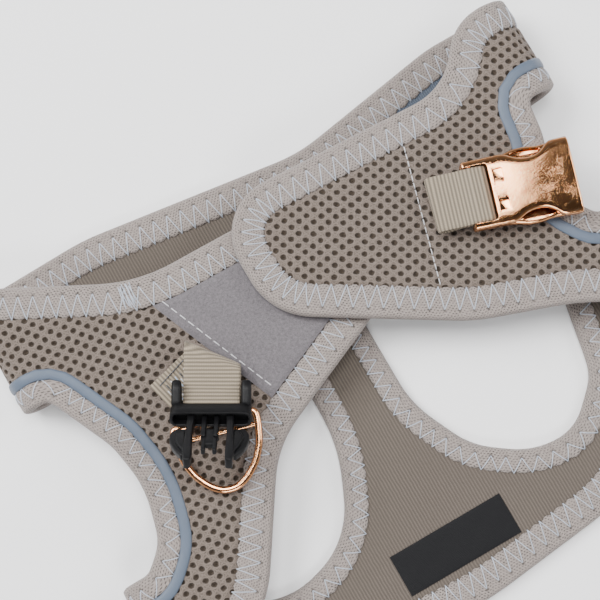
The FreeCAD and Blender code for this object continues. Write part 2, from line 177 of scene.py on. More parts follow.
def even(path, step=1.0 * MM, soften=1.5 * MM):
    """The path spaced evenly, then averaged with its neighbours; its two ends stay in place."""
    run = run_along(path)
    count = int(round(run[-1] / step)) + 1
    along = np.linspace(0.0, run[-1], count)
    path = np.stack([np.interp(along, run, path[:, 0]), np.interp(along, run, path[:, 1])], 1)
    reach = int(round(3 * soften / step))
    weight = bell(reach, step, soften)
    before = 2 * path[0] - path[reach:0:-1]
    after = 2 * path[-1] - path[-2:-reach - 2:-1]
    padded = np.concatenate([before, path, after])
    return np.stack([np.convolve(padded[:, i], weight, "valid") for i in (0, 1)], 1)


def edge_of(node, height, lines, best):
    """The part of a binding's border that runs along the cut edge, picked by the key best."""
    parts = [part for loop in flat_border(node, height) for part in cut_open(loop, lines)]
    return even(max(parts, key=best))


def length_of(path):
    """Length of a path."""
    return float(run_along(path)[-1])


chest_lines = (left.x, right.x)
neck_edge = edge_of("chest_neck_binding", 0.0, chest_lines, lambda p: p[:, 1].mean())
rear_edge = edge_of("chest_rear_binding", 0.0, chest_lines, lambda p: -p[:, 1].mean())
left_hole = edge_of("left_leg_binding_under", 0.0, chest_lines, lambda p: -length_of(p))
right_hole = edge_of("right_leg_binding_under", 0.0, chest_lines, lambda p: -length_of(p))
print("neck %d mm, rear %d mm, leg holes %d and %d mm"
      % tuple(length_of(p) / MM for p in (neck_edge, rear_edge, left_hole, right_hole)))

# %% [markdown]
# ## The wings' edges on the pattern
# A wing is sewn to the chest as one piece of cloth, so its edge runs on from the chest round the fold.
# The frame only has the folded wing. Its edge is laid back on the flat pattern and joined to the fold
# line at both ends, so that the tape made later goes round the fold without a seam.

# %% Edges of the wings, drawn on the flat pattern
def downward(path):
    """The path from its higher-y end to its lower-y end."""
    return path if path[0, 1] > path[-1, 1] else path[::-1]


def rightward(path):
    """The path from its lower-x end to its higher-x end."""
    return path if path[0, 0] < path[-1, 0] else path[::-1]


def round_fold(fold, node, best):
    """A wing's edge with the two runs that carry it round the fold, from neck to rear."""
    top = 2 * fold.radius
    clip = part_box(node)[1 if fold.side > 0 else 0].x
    parts = [part for loop in flat_border(node, top) for part in cut_open(loop, (clip,))]
    wing = fold.pattern(downward(max(parts, key=best)))
    first = np.array([[0.0, wing[0, 1]]])
    last = np.array([[0.0, wing[-1, 1]]])
    return even(np.concatenate([first, wing, last]))


wing_edge = {}
wing_hole = {}
for fold in (left, right):
    wing_edge[fold.name] = round_fold(fold, fold.name + "_wing_binding", length_of)
    wing_hole[fold.name] = round_fold(fold, fold.name + "_leg_binding", lambda p: -length_of(p))
    print(fold.name, "wing edge %d mm, leg hole %d mm"
          % (length_of(wing_edge[fold.name]) / MM, length_of(wing_hole[fold.name]) / MM))

# %% [markdown]
# ## Turning arrays into pieces
# Every new piece is a grid of points worked out as one array. A small set of builders turns a grid
# into quads, closes its seam and its ends, and hands the arrays to the mesh. The pattern place of
# each point is kept as a UV map in millimetres, so that weaves and knits follow the cloth.

# %% Grids, shells and pieces
def ring_faces(rings, around, closed_along=False):
    """Quads of a tube: ring i, point j joins ring i+1 and point j+1, and the last point joins the
    first."""
    last = rings if closed_along else rings - 1
    i, j = np.meshgrid(np.arange(last), np.arange(around), indexing="ij")
    i2 = (i + 1) % rings
    j2 = (j + 1) % around
    quads = np.stack([i * around + j, i2 * around + j, i2 * around + j2, i * around + j2], -1)
    return quads.reshape(-1, 4)


def make_piece(name, points, faces, material, uv=None, angle=40.0, extra_faces=(), mark=None):
    """A closed mesh at the origin from its points and faces, normals out, smooth but for corners
    sharper than angle; uv gives one pattern place per point and mark one value per point."""
    mesh = bpy.data.meshes.new(name)
    everything = faces.tolist() + [list(face) for face in extra_faces]
    mesh.from_pydata(points.reshape(-1, 3).tolist(), [], everything)
    if uv is not None:
        layer = mesh.uv_layers.new(name="pattern")
        corner = np.empty(len(mesh.loops), dtype=np.int32)
        mesh.loops.foreach_get("vertex_index", corner)
        layer.data.foreach_set("uv", uv.reshape(-1, 2)[corner].astype(np.float32).ravel())
    work = bmesh.new()
    work.from_mesh(mesh)
    bmesh.ops.recalc_face_normals(work, faces=work.faces)
    work.to_mesh(mesh)
    work.free()
    if mark is not None:
        layer = mesh.attributes.new("mark", "FLOAT", "POINT")
        layer.data.foreach_set("value", np.ascontiguousarray(mark, dtype=np.float32).ravel())
    mesh.shade_smooth()
    mesh.set_sharp_from_angle(angle=math.radians(angle))
    piece = bpy.data.objects.new(name, mesh)
    bpy.context.scene.collection.objects.link(piece)
    mesh.materials.append(material)
    return piece


def tube_piece(name, grid, material, uv=None, closed=False, angle=40.0, mark=None):
    """A tube through rings of points, shape (rings, around, 3), capped unless it is closed."""
    rings, around = grid.shape[:2]
    faces = ring_faces(rings, around, closed)
    caps = []
    if not closed:
        caps = [range(around), range((rings - 1) * around, rings * around)]
    return make_piece(name, grid, faces, material, uv, angle, caps, mark)


def many_tubes(name, grids, material, angle=80.0):
    """Many equal tubes as one piece; grids has the shape (tubes, rings, around, 3)."""
    tubes, rings, around = grids.shape[:3]
    one = ring_faces(rings, around)
    step = rings * around
    faces = (one[None] + (np.arange(tubes) * step)[:, None, None]).reshape(-1, 4)
    start = np.arange(around)
    ends = np.stack([start, start + (rings - 1) * around])
    caps = (ends[None] + (np.arange(tubes) * step)[:, None, None]).reshape(-1, around)
    return make_piece(name, grids, faces, material, None, angle, caps.tolist())


def shell_piece(name, top, bottom, keep, material, uv):
    """A closed sheet from two grids: the kept cells of the top, the same cells of the bottom turned
    over, and a wall along every cell edge that has no kept neighbour."""
    rows, cols = top.shape[:2]
    index = np.arange(rows * cols).reshape(rows, cols)
    under = index + rows * cols
    a, b, c, d = index[:-1, :-1], index[1:, :-1], index[1:, 1:], index[:-1, 1:]
    faces = [np.stack([a, b, c, d], -1)[keep]]
    a, b, c, d = under[:-1, :-1], under[1:, :-1], under[1:, 1:], under[:-1, 1:]
    faces.append(np.stack([d, c, b, a], -1)[keep])
    padded = np.pad(keep, 1)
    inside = padded[1:-1, 1:-1]
    walls = (
        (padded[1:-1, :-2], index[:-1, :-1], index[1:, :-1]),
        (padded[1:-1, 2:], index[1:, 1:], index[:-1, 1:]),
        (padded[:-2, 1:-1], index[:-1, 1:], index[:-1, :-1]),
        (padded[2:, 1:-1], index[1:, :-1], index[1:, 1:]),
    )
    for neighbour, first, second in walls:
        bare = inside & ~neighbour
        p, q = first[bare], second[bare]
        faces.append(np.stack([q, p, p + rows * cols, q + rows * cols], -1))
    faces = np.concatenate(faces)
    used, faces = np.unique(faces, return_inverse=True)
    points = np.concatenate([top.reshape(-1, 3), bottom.reshape(-1, 3)])[used]
    places = np.concatenate([uv.reshape(-1, 2)] * 2)[used]
    return make_piece(name, points, faces.reshape(-1, 4), material, places, 60.0)


def threads(centres, radius, around=6):
    """Round thread along many centre lines, shape (lines, points, 3). Each ring lies square to its
    line, on the line's own up and side directions."""
    ahead = np.gradient(centres, axis=1)
    ahead /= np.linalg.norm(ahead, axis=-1, keepdims=True)
    up = np.zeros_like(ahead)
    up[..., 2] = 1.0
    steep = np.abs(ahead[..., 2]) > 0.95
    up[steep] = (1.0, 0.0, 0.0)
    side = np.cross(ahead, up)
    side /= np.linalg.norm(side, axis=-1, keepdims=True)
    rise = np.cross(side, ahead)
    turn = np.linspace(0, 2 * math.pi, around, endpoint=False)
    ring = side[..., None, :] * np.cos(turn)[:, None] + rise[..., None, :] * np.sin(turn)[:, None]
    thick = np.asarray(radius)
    if thick.ndim:
        thick = thick.reshape(1, -1, 1, 1)
    return centres[..., None, :] + ring * thick


print("builders ready")

# %% [markdown]
# ## Finishes written as sums
# A finish is a formula over the surface: how far a point is from the nearest hole of the mesh, where
# it stands on a rib, how a scratch runs. One small class wraps a node's output so that such a formula
# can be written with plain arithmetic, and one method adds any other node.

# %% A number over the surface, and the material it belongs to
class Field:
    """A value that changes over a surface, with arithmetic that adds Math nodes."""

    def __init__(self, paint, socket):
        self.paint = paint
        self.socket = socket

    def math(self, operation, *others):
        """The Math node of that name on this value and the others."""
        return self.paint.node("ShaderNodeMath", {"operation": operation}, [self, *others])

    def __add__(self, other):
        return self.math("ADD", other)

    def __sub__(self, other):
        return self.math("SUBTRACT", other)

    def __rsub__(self, other):
        return self.paint.node("ShaderNodeMath", {"operation": "SUBTRACT"}, [other, self])

    def __mul__(self, other):
        return self.math("MULTIPLY", other)

    __radd__ = __add__
    __rmul__ = __mul__

    def step(self, low, high):
        """0 below low, 1 above high and smooth between; low may be the larger one."""
        return self.paint.node("ShaderNodeMapRange", {"interpolation_type": "SMOOTHSTEP"},
                               {0: self, 1: low, 2: high, 3: 0.0, 4: 1.0})

    def centred(self, period):
        """The value wrapped to the range from minus half a period to plus half."""
        return self.math("WRAP", period / 2, -period / 2)

    def wave(self, period):
        """A sine wave of that period, from 0 to 1."""
        return (self * (2 * math.pi / period)).math("SINE") * 0.5 + 0.5


class Paint:
    """A material with its Principled surface and its nodes."""

    def __init__(self, name, colour, roughness, **constants):
        self.material = bpy.data.materials.new(name)
        self.material.use_nodes = True
        self.tree = self.material.node_tree
        self.surface = self.tree.nodes["Principled BSDF"]
        self.material.diffuse_color = (*colour, 1.0)
        self.set("Base Color", (*colour, 1.0))
        self.set("Roughness", roughness)
        for socket, value in constants.items():
            self.set(socket.replace("_", " "), value)

    def node(self, kind, settings=None, inputs=(), output=0):
        """Any node: its settings first, then the values or links of its inputs."""
        made = self.tree.nodes.new(kind)
        for key, value in (settings or {}).items():
            setattr(made, key, value)
        pairs = inputs.items() if isinstance(inputs, dict) else enumerate(inputs)
        for key, value in pairs:
            if isinstance(value, Field):
                self.tree.links.new(value.socket, made.inputs[key])
            else:
                made.inputs[key].default_value = value
        return Field(self, made.outputs[output])

    def set(self, socket, value):
        """Feeds one of the surface's sockets with a field or a constant."""
        if isinstance(value, Field):
            self.tree.links.new(value.socket, self.surface.inputs[socket])
        else:
            self.surface.inputs[socket].default_value = value

    def pattern(self):
        """The pattern place of the point, in millimetres: along, across, and both as a vector."""
        spot = self.node("ShaderNodeTexCoord", output=2)
        along = self.node("ShaderNodeSeparateXYZ", None, [spot])
        return along, Field(self, along.socket.node.outputs[1]), spot

    def place(self):
        """The point's place on the object."""
        return self.node("ShaderNodeTexCoord", output=3)

    def mark(self):
        """The value kept at the piece's points."""
        return self.node("ShaderNodeAttribute", {"attribute_name": "mark"}, (), 2)

    def noise(self, where, scale, detail=2.0, roughness=0.5):
        """Cloudy noise between 0 and 1 at so many clouds to the unit of where."""
        return self.node("ShaderNodeTexNoise", None,
                         {"Vector": where, "Scale": scale, "Detail": detail, "Roughness": roughness})

    def mix(self, amount, first, second):
        """One colour where amount is 0, the other where it is 1."""
        return self.node("ShaderNodeMix", {"data_type": "RGBA"}, {0: amount, 6: first, 7: second}, 2)

    def stretch(self, where, factors):
        """The place stretched by a factor along each axis."""
        return self.node("ShaderNodeVectorMath", {"operation": "MULTIPLY"}, [where, factors])

    def bump(self, height, distance):
        """Sends a height, 0 to 1, into the surface's normal; distance is its depth in metres."""
        self.set("Normal", self.node("ShaderNodeBump", None,
                                     {"Height": height, "Distance": distance, "Strength": 1.0}))


def shade(colour, factor):
    """A colour made darker or lighter, with full alpha."""
    return (*[min(1.0, c * factor) for c in colour], 1.0)


print("finish helpers ready")

# %% [markdown]
# ## Cloth finishes
# The air mesh is a spacer knit: round cells in a staggered lattice, knitted strands between them.
# The strand colour is matt and light, with a painted highlight on each cell's rim and on the net of
# strands. A cell goes down into the spacer threads, and its floor is painted dark: painted shade in the
# hole. The cells are real dimples in the piece, and the finish colours their floors.

# %% Air mesh
cell_pitch = 5.28
cell_row = 2.2
cell_radius = 1.08
cell_squash = 1.12


def cell_distances(u, v):
    """Distances to the nearest cell centres of the two rectangular lattices that make up the
    staggered one; each lattice lies half a pitch from the other. Works on arrays and on fields."""
    if isinstance(u, Field):
        first_u, first_v = u.centred(cell_pitch), v.centred(2 * cell_row) * cell_squash
        second_u = (u + cell_pitch / 2).centred(cell_pitch)
        second_v = (v + cell_row).centred(2 * cell_row) * cell_squash
        return [(a * a + b * b).math("SQRT") for a, b in ((first_u, first_v), (second_u, second_v))]

    def centred(x, period):
        return (x + period / 2) % period - period / 2

    first = np.hypot(centred(u, cell_pitch), centred(v, 2 * cell_row) * cell_squash)
    second = np.hypot(centred(u + cell_pitch / 2, cell_pitch),
                      centred(v + cell_row, 2 * cell_row) * cell_squash)
    return first, second


def air_mesh_finish():
    """Strands in a net between cells with painted shade on their floors: the net runs where two cells
    are equally far, the net and each cell's rim carry a painted highlight, and the knit shows as a coarse
    grain."""
    colour = (0.122, 0.098, 0.082)
    paint = Paint("air_mesh", colour, 0.92, Specular_IOR_Level=0.2, Sheen_Weight=0.1)
    u, v, spot = paint.pattern()
    wander = paint.noise(spot, 0.55, 2.0) - 0.5
    swirl = paint.noise(paint.stretch(spot, (-0.7, 0.8, 1.0)), 0.6, 2.0) - 0.5
    first, second = cell_distances(u + wander * 1.1, v + swirl * 0.8)
    fray = paint.noise(spot, 3.2, 2.0, 0.7) - 0.5
    far = first.math("MINIMUM", second) + fray * 0.45
    # cell marks each cell: its floor gets the painted shade colour below, and the bump sinks it
    cell = far.step(cell_radius + 0.14, cell_radius - 0.20)
    # rim and net mark the rings round the cells and the lines between them, which get a painted highlight
    rim_outside = far.step(cell_radius + 0.62, cell_radius + 0.36)
    rim = rim_outside * far.step(cell_radius + 0.02, cell_radius + 0.26)
    net = (first - second).math("ABSOLUTE").step(0.62, 0.12)
    grain = paint.noise(paint.stretch(spot, (1.1, 1.9, 1.0)), 1.0, 4.0, 0.8).step(0.30, 0.70)
    cloud = paint.noise(spot, 0.06, 2.0)
    strand = paint.mix(grain, shade(colour, 0.50), shade(colour, 1.55))
    strand = paint.mix(cloud * 0.5, strand, shade(colour, 0.78))
    # painted highlight on the cell rims and the net of strands
    strand = paint.mix((rim + net * 0.7).math("MINIMUM", 1.0) * 0.55, strand, shade(colour, 2.1))
    # painted shade: the dark colour of the cell floors, with the grain in it
    floor = paint.mix(grain, (0.022, 0.016, 0.011, 1.0), (0.066, 0.049, 0.036, 1.0))
    paint.set("Base Color", paint.mix(cell, strand, floor))
    paint.bump((1.0 - cell) * 0.45 + grain * 0.25 + net * 0.15 + rim * 0.15, 0.4 * MM)
    return paint.material


air_mesh = air_mesh_finish()
print("air mesh:", len(air_mesh.node_tree.nodes), "nodes")

# %% [markdown]
# ## Lining and piping
# The lining is a fine ribbed knit, so its ribs are a sine wave across the cloth. The ribs are too
# fine to be worth geometry, and a bump carries them. The piping is satin: long fibres and a soft shine.

# %% Ribbed lining, blue lining and piping
def ribbed_finish(name, colour, period, roughness=0.85):
    """Knit cloth with fine ribs: a sine wave across them, broken up by the stitches along them."""
    paint = Paint(name, colour, roughness, Specular_IOR_Level=0.25, Sheen_Weight=0.15)
    u, v, spot = paint.pattern()
    wander = paint.noise(spot, 0.35, 2.0) - 0.5
    rib = (u + wander * 0.5).wave(period)
    stitch = (v + rib * 0.3).wave(period * 0.55)
    grain = paint.noise(paint.stretch(spot, (3.0, 1.5, 1.0)), 1.0, 2.0)
    body = paint.mix(rib * 0.75 + grain * 0.25, shade(colour, 0.55), shade(colour, 1.30))
    cloud = paint.noise(spot, 0.05, 3.0)
    paint.set("Base Color", paint.mix(cloud * 0.6, body, shade(colour, 0.80)))
    paint.bump(rib * 0.7 + stitch * 0.2 + grain * 0.1, 0.28 * MM)
    return paint.material


def satin_finish(name, colour):
    """Smooth woven satin with very fine threads along it and a soft shine."""
    paint = Paint(name, colour, 0.48, Specular_IOR_Level=0.45, Sheen_Weight=0.1)
    spot = paint.pattern()[2]
    fibre = paint.noise(paint.stretch(spot, (0.7, 7.0, 1.0)), 1.0, 3.0)
    cloud = paint.noise(spot, 0.22, 2.0)
    paint.set("Base Color", paint.mix(fibre * 0.6 + cloud * 0.4, shade(colour, 0.72), shade(colour, 1.28)))
    paint.bump(fibre, 0.06 * MM)
    return paint.material


ribbed_lining = ribbed_finish("ribbed_lining", (0.112, 0.092, 0.076), 1.15)
blue_lining = ribbed_finish("blue_lining", (0.085, 0.105, 0.140), 0.9, 0.7)
leg_piping = satin_finish("leg_piping", (0.074, 0.098, 0.138))
print("linings and piping ready")

# %% [markdown]
# ## Binding, thread, webbing and pile
# The binding is a warp knit with small dark gaps; each needle hole is dark, with painted shade in the dip
# round it. The tape mesh keeps a number at each point that says how near a needle hole is, and the
# finish reads it. The thread is a shiny filament, the webbing has ribs across it, and the pile is a
# tangle made of two noises.

# %% Knit binding and thread
def binding_finish():
    """Fine warp knit: small dark gaps in staggered rows, clearest along the rim, and soft fuzz; each
    needle hole is dark, with painted shade in the dip round it.
    """
    colour = (0.262, 0.226, 0.206)
    paint = Paint("binding_tape", colour, 0.95, Specular_IOR_Level=0.15, Sheen_Weight=0.2)
    u, v, spot = paint.pattern()
    wander = paint.noise(spot, 1.1, 2.0) - 0.5
    row = (v + wander * 0.25).wave(0.92)
    dash = (u + v * 0.62 + wander * 0.4).wave(1.2)
    gap = (row * dash).step(0.38, 0.72)
    fuzz = paint.noise(paint.stretch(spot, (2.2, 2.8, 1.0)), 1.0, 4.0, 0.7)
    clear = paint.noise(spot, 0.16, 1.0).step(0.35, 0.7) * 0.4 + 0.6
    coarse = paint.noise(paint.stretch(spot, (0.9, 1.3, 1.0)), 1.0, 3.0, 0.8).step(0.3, 0.7)
    body = paint.mix(fuzz * 0.4 + coarse * 0.6, shade(colour, 0.66), shade(colour, 1.36))
    knit = paint.mix(gap * clear, body, shade(colour, 0.22))
    # painted shade: the mark darkens the tape round each needle hole, where the tape dips
    paint.set("Base Color", paint.mix(paint.mark().step(0.12, 0.85) * 0.8, knit, shade(colour, 0.16)))
    paint.bump(fuzz * 0.5 - gap * 0.5 + 0.5, 0.3 * MM)
    return paint.material


def thread_finish(name, colour):
    """Twisted filament thread: pale, a little shiny, striped by its twist."""
    paint = Paint(name, colour, 0.38, Specular_IOR_Level=0.6, Sheen_Weight=0.1)
    twist = paint.noise(paint.place(), 2600.0, 1.0)
    paint.set("Base Color", paint.mix(twist, shade(colour, 0.7), shade(colour, 1.25)))
    return paint.material


binding_tape = binding_finish()
edge_thread = thread_finish("edge_thread", (0.390, 0.420, 0.480))
seam_thread = thread_finish("seam_thread", (0.560, 0.555, 0.570))
print("binding and threads ready")

# %% Webbing and pile
def webbing_finish():
    """Ribbed polyester webbing: weft ribs across it, warp threads that pass over them, selvages."""
    colour = (0.310, 0.255, 0.185)
    paint = Paint("webbing", colour, 0.72, Specular_IOR_Level=0.35, Sheen_Weight=0.12)
    u, v, spot = paint.pattern()
    rib = u.wave(1.35)
    warp = (v + rib * 0.12).wave(0.62)
    weave = paint.noise(paint.stretch(spot, (2.5, 5.0, 1.0)), 1.0, 2.0)
    body = paint.mix(rib * 0.72 + warp * rib * 0.28, shade(colour, 0.34), shade(colour, 1.18))
    paint.set("Base Color", paint.mix(weave * 0.30, body, shade(colour, 0.72)))
    paint.bump(rib * 0.5 + warp * rib * 0.5, 0.2 * MM)
    return paint.material


def pile_finish(name, colour):
    """Brushed loop pile: tangled fibres seen from above, their tone varying at random, with painted light
    on the tips and painted shade at the roots.
    """
    paint = Paint(name, colour, 0.97, Specular_IOR_Level=0.12, Sheen_Weight=0.35)
    spot = paint.place()
    tangle = paint.noise(spot, 900.0, 4.0, 0.75)
    tuft = paint.noise(spot, 2600.0, 2.0, 0.7)
    cloud = paint.noise(spot, 70.0, 2.0)
    fibre = (tangle * 0.55 + tuft * 0.45).step(0.32, 0.68)
    # painted light and shade: the fibre noise makes the tips lighter and the roots darker
    body = paint.mix(fibre, shade(colour, 0.62), shade(colour, 1.30))
    paint.set("Base Color", paint.mix(cloud * 0.4, body, shade(colour, 0.86)))
    paint.bump(tangle * 0.5 + tuft * 0.5, 0.45 * MM)
    return paint.material


webbing = webbing_finish()
loop_fabric = pile_finish("loop_fabric", (0.138, 0.126, 0.134))
hook_tape = pile_finish("hook_tape", (0.16, 0.14, 0.12))
print("cloth finishes ready")

# %% [markdown]
# ## Cloth panels
# A panel is a closed sheet on a grid over its cut outline. The distance of each grid point from the
# outline is found by walking along the outline once, for all grid points together. Under the binding
# the mesh is squeezed thinner, as the stitches squeeze the real cloth.

# %% Which points lie inside an outline, and how far from its edge
def whole_cells(inside):
    """The grid cells whose four corners are all inside."""
    return inside[:-1, :-1] & inside[1:, :-1] & inside[1:, 1:] & inside[:-1, 1:]


def lies_inside(x, y, outline):
    """Whether each point lies inside the closed outline: a line from it towards higher x then
    crosses the outline an odd number of times."""
    inside = np.zeros(x.shape, bool)
    ends = np.roll(outline, -1, axis=0)
    for (x0, y0), (x1, y1) in zip(outline.tolist(), ends.tolist()):
        crosses = (y0 > y) != (y1 > y)
        if crosses.any():
            meet = x0 + (y - y0) * (x1 - x0) / (y1 - y0 if y1 != y0 else 1.0)
            inside ^= crosses & (x < meet)
    return inside


def far_from(x, y, path):
    """Distance of each point from an open path."""
    far = np.full(x.shape, np.inf)
    for (x0, y0), (x1, y1) in zip(path[:-1].tolist(), path[1:].tolist()):
        dx, dy = x1 - x0, y1 - y0
        share = np.clip(((x - x0) * dx + (y - y0) * dy) / max(dx * dx + dy * dy, 1e-18), 0.0, 1.0)
        far = np.minimum(far, (x - x0 - share * dx) ** 2 + (y - y0 - share * dy) ** 2)
    return np.sqrt(far)


def smooth(value, low, high):
    """0 below low, 1 above high, smooth between."""
    t = np.clip((value - low) / (high - low), 0.0, 1.0)
    return t * t * (3 - 2 * t)


print("outline helpers ready")

# %% A cut panel as a grid
class Panel:
    """A cut cloth panel: outline on the pattern, how it is placed, and its bound edges."""

    def __init__(self, outline, bound, place, low, high):
        self.outline = outline
        self.bound = bound
        self.place = place
        self.low, self.high = low, high

    def grid(self, angle, step_u, step_v):
        """Grid over the outline with rows at an angle. Gives the pattern place (x, y), the row
        coordinates in millimetres and the kept cells; x is held between the fold lines."""
        along = np.array([math.cos(angle), math.sin(angle)])
        over = np.array([-along[1], along[0]])
        u = self.outline @ along / MM
        v = self.outline @ over / MM
        us = np.arange(math.floor(u.min() / step_u) - 1, math.ceil(u.max() / step_u) + 2) * step_u
        vs = np.arange(math.floor(v.min() / step_v) - 1, math.ceil(v.max() / step_v) + 2) * step_v
        gu, gv = np.meshgrid(us, vs, indexing="ij")
        x = (gu * along[0] + gv * over[0]) * MM
        y = (gu * along[1] + gv * over[1]) * MM
        held = np.clip(x, self.low, self.high)
        nudge = np.clip(x, self.low + 1e-5, self.high - 1e-5)
        middle = (x[:-1, :-1] + x[1:, 1:]) / 2
        keep = whole_cells(lies_inside(nudge, y, self.outline))
        keep &= (middle > self.low - 1e-9) & (middle < self.high + 1e-9)
        return held, y, np.stack([gu, gv], -1), keep

    def thin(self, x, y):
        """How much the mesh face sinks at each point under the binding, in metres."""
        sink = np.zeros(x.shape)
        for path, width in self.bound:
            far = far_from(x, y, path)
            sink = np.maximum(sink, 1.0 - smooth(far, width - 0.6 * MM, width + 1.8 * MM))
            sink = np.where(far < 1.2 * MM, 1.0, sink)
        return sink * (tape_wall + 0.25 * MM)


cell_depth = 1.25 * MM
skin = 0.05 * MM


def mesh_piece(name, panel, angle, fine, grooves=()):
    """The spacer mesh of a panel: its face has a dimple at each cell of the knit."""
    step_u = cell_pitch / (10 if fine else 8)
    step_v = cell_row / (4 if fine else 3)
    x, y, row, keep = panel.grid(angle, step_u, step_v)
    nearest = np.minimum(*cell_distances(row[..., 0], row[..., 1]))
    cell = 1.0 - smooth(nearest, 0.4, cell_radius + 0.3)
    sink = panel.thin(x, y)
    face = sink + cell_depth * cell * (1.0 - sink / sink.max()) + skin
    for path, depth, reach in grooves:
        face += depth * np.exp(-(far_from(x, y, path) / reach) ** 2)
    back = np.full(x.shape, lining_face - skin)
    return shell_piece(name, panel.place(x, y, face), panel.place(x, y, back), keep, air_mesh, row)


def lining_piece(name, panel, material, part=None):
    """The lining of a panel, or of the part of it that a rule on the cells' middles picks. Its face
    rolls a little: the product of two slow sine waves."""
    x, y, row, keep = panel.grid(0.0, 1.0, 1.25)
    if part:
        keep = keep & part((x[:-1, :-1] + x[1:, 1:]) / 2, (y[:-1, :-1] + y[1:, 1:]) / 2)
    low_roll = 0.12 * MM
    roll = low_roll * np.sin(row[..., 0] * 0.21) * np.sin(row[..., 1] * 0.16)
    face = np.full(x.shape, panel_depth) - low_roll + roll
    back = np.full(x.shape, lining_face)
    return shell_piece(name, panel.place(x, y, face), panel.place(x, y, back), keep, material, row)


print("a mesh cell sinks %.2f mm" % (cell_depth / MM))

# %% [markdown]
# ## A seam that presses the mesh down
# The hook patch is sewn on from below, and the row of stitches that holds its end shows on top as a
# shallow groove. The groove is a bell curve of the distance from the stitch line, added to the mesh
# face, so that the stitches can lie in it.

# %% The seam across the right wing, where its hook patch ends
def outline_of(node, height):
    """The longest border of a node's flat face."""
    return max(flat_border(node, height), key=length_of)


def line_inside(start, end, trim=0.0):
    """A straight stitch line between two points, in metres, shortened by trim at both ends."""
    start, end = np.array(start), np.array(end)
    along = (end - start) / np.linalg.norm(end - start)
    return np.stack([start + along * trim, end - along * trim])


def long_side(outline, pick):
    """The straight side of a patch outline whose middle has the highest pick: its two ends."""
    ends = np.roll(outline, -1, axis=0)
    lengths = np.linalg.norm(ends - outline, axis=1)
    score = np.where(lengths > 15 * MM, [pick(m) for m in (outline + ends) / 2], -1e9)
    k = int(np.argmax(score))
    return outline[k], ends[k]


hook_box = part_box("hook_patch")
hook_outline = outline_of("hook_patch", hook_box[0].z)
flap_line = line_inside(*long_side(hook_outline, lambda m: m[0]), 0.5 * MM)
flap_groove = 0.55 * MM
flap_seam = (right.pattern(flap_line), flap_groove, 1.3 * MM)
print("flap seam %d mm long" % (length_of(flap_line) / MM))

# %% [markdown]
# ## Chest and wings
# The chest lies still. A wing bends where it leaves the chest: the fold's formula carries its cloth from
# the chest round the fold and onto the wing.

# %% The chest panel and the two wings
chest_outline = np.concatenate([rightward(neck_edge), downward(right_hole),
                                rightward(rear_edge)[::-1], downward(left_hole)[::-1]])
chest = Panel(chest_outline, [(neck_edge, binding_width), (rear_edge, binding_width),
                              (left_hole, leg_binding_width), (right_hole, leg_binding_width)],
              lie_flat, left.x, right.x)
wings = {}
for fold in (left, right):
    name = fold.name
    outline = np.concatenate([wing_edge[name], wing_hole[name][::-1]])
    wings[name] = Panel(outline, [(wing_edge[name], binding_width),
                                  (wing_hole[name], leg_binding_width)], fold.place, 0.0, 1.0)

wing_rows = {"left": math.radians(-12.0), "right": math.radians(32.0)}


def turns_with(piece, fold):
    """Bakes the piece's placement into its mesh; the fold's formula has already carried it round the fold."""
    2 * fold.radius - bound_depth - 0.6 * MM
    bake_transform(piece)


print("chest outline %d points" % len(chest_outline))

# %% Their mesh and lining
piece = mesh_piece("chest_mesh_cloth", chest, 0.0, False)
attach(piece, "root")
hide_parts("chest_mesh")
for fold in (left, right):
    wing = fold.name + "_wing"
    piece = mesh_piece(wing + "_mesh_cloth", wings[fold.name], wing_rows[fold.name], True,
                       [flap_seam] if fold is right else ())
    turns_with(piece, fold)
    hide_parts(wing + "_mesh", fold.name + "_neck_fold", fold.name + "_rear_fold")
    piece = lining_piece(wing + "_lining_cloth", wings[fold.name], ribbed_lining)
    turns_with(piece, fold)
    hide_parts(wing + "_lining")
blue_left, blue_right = -78.0 * MM, 55.0 * MM
neck_level = 32.8 * MM
lining_parts = {
    "chest_lining": ("ribbed_lining", ribbed_lining,
                     lambda x, y: (y < neck_level) | ((x > blue_left) & (x < blue_right))),
    "left_neck_lining": ("blue_lining", blue_lining,
                         lambda x, y: (y > neck_level) & (x < blue_left)),
    "right_neck_lining": ("blue_lining", blue_lining,
                          lambda x, y: (y > neck_level) & (x > blue_right)),
}
for name, (record, finish, part) in lining_parts.items():
    piece = lining_piece(name + "_cloth", chest, finish, part)
    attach(piece, "root")
    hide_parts(name)
print("cloth panels ready")

# %% [markdown]
# ## Bindings and their stitches
# The tape is wrapped over the cut edge and held by a zigzag through all layers. Every needle hole
# pulls the tape down, and between the holes it swells, so the height of the tape is one formula used
# by both the tape and the thread that lies on it.

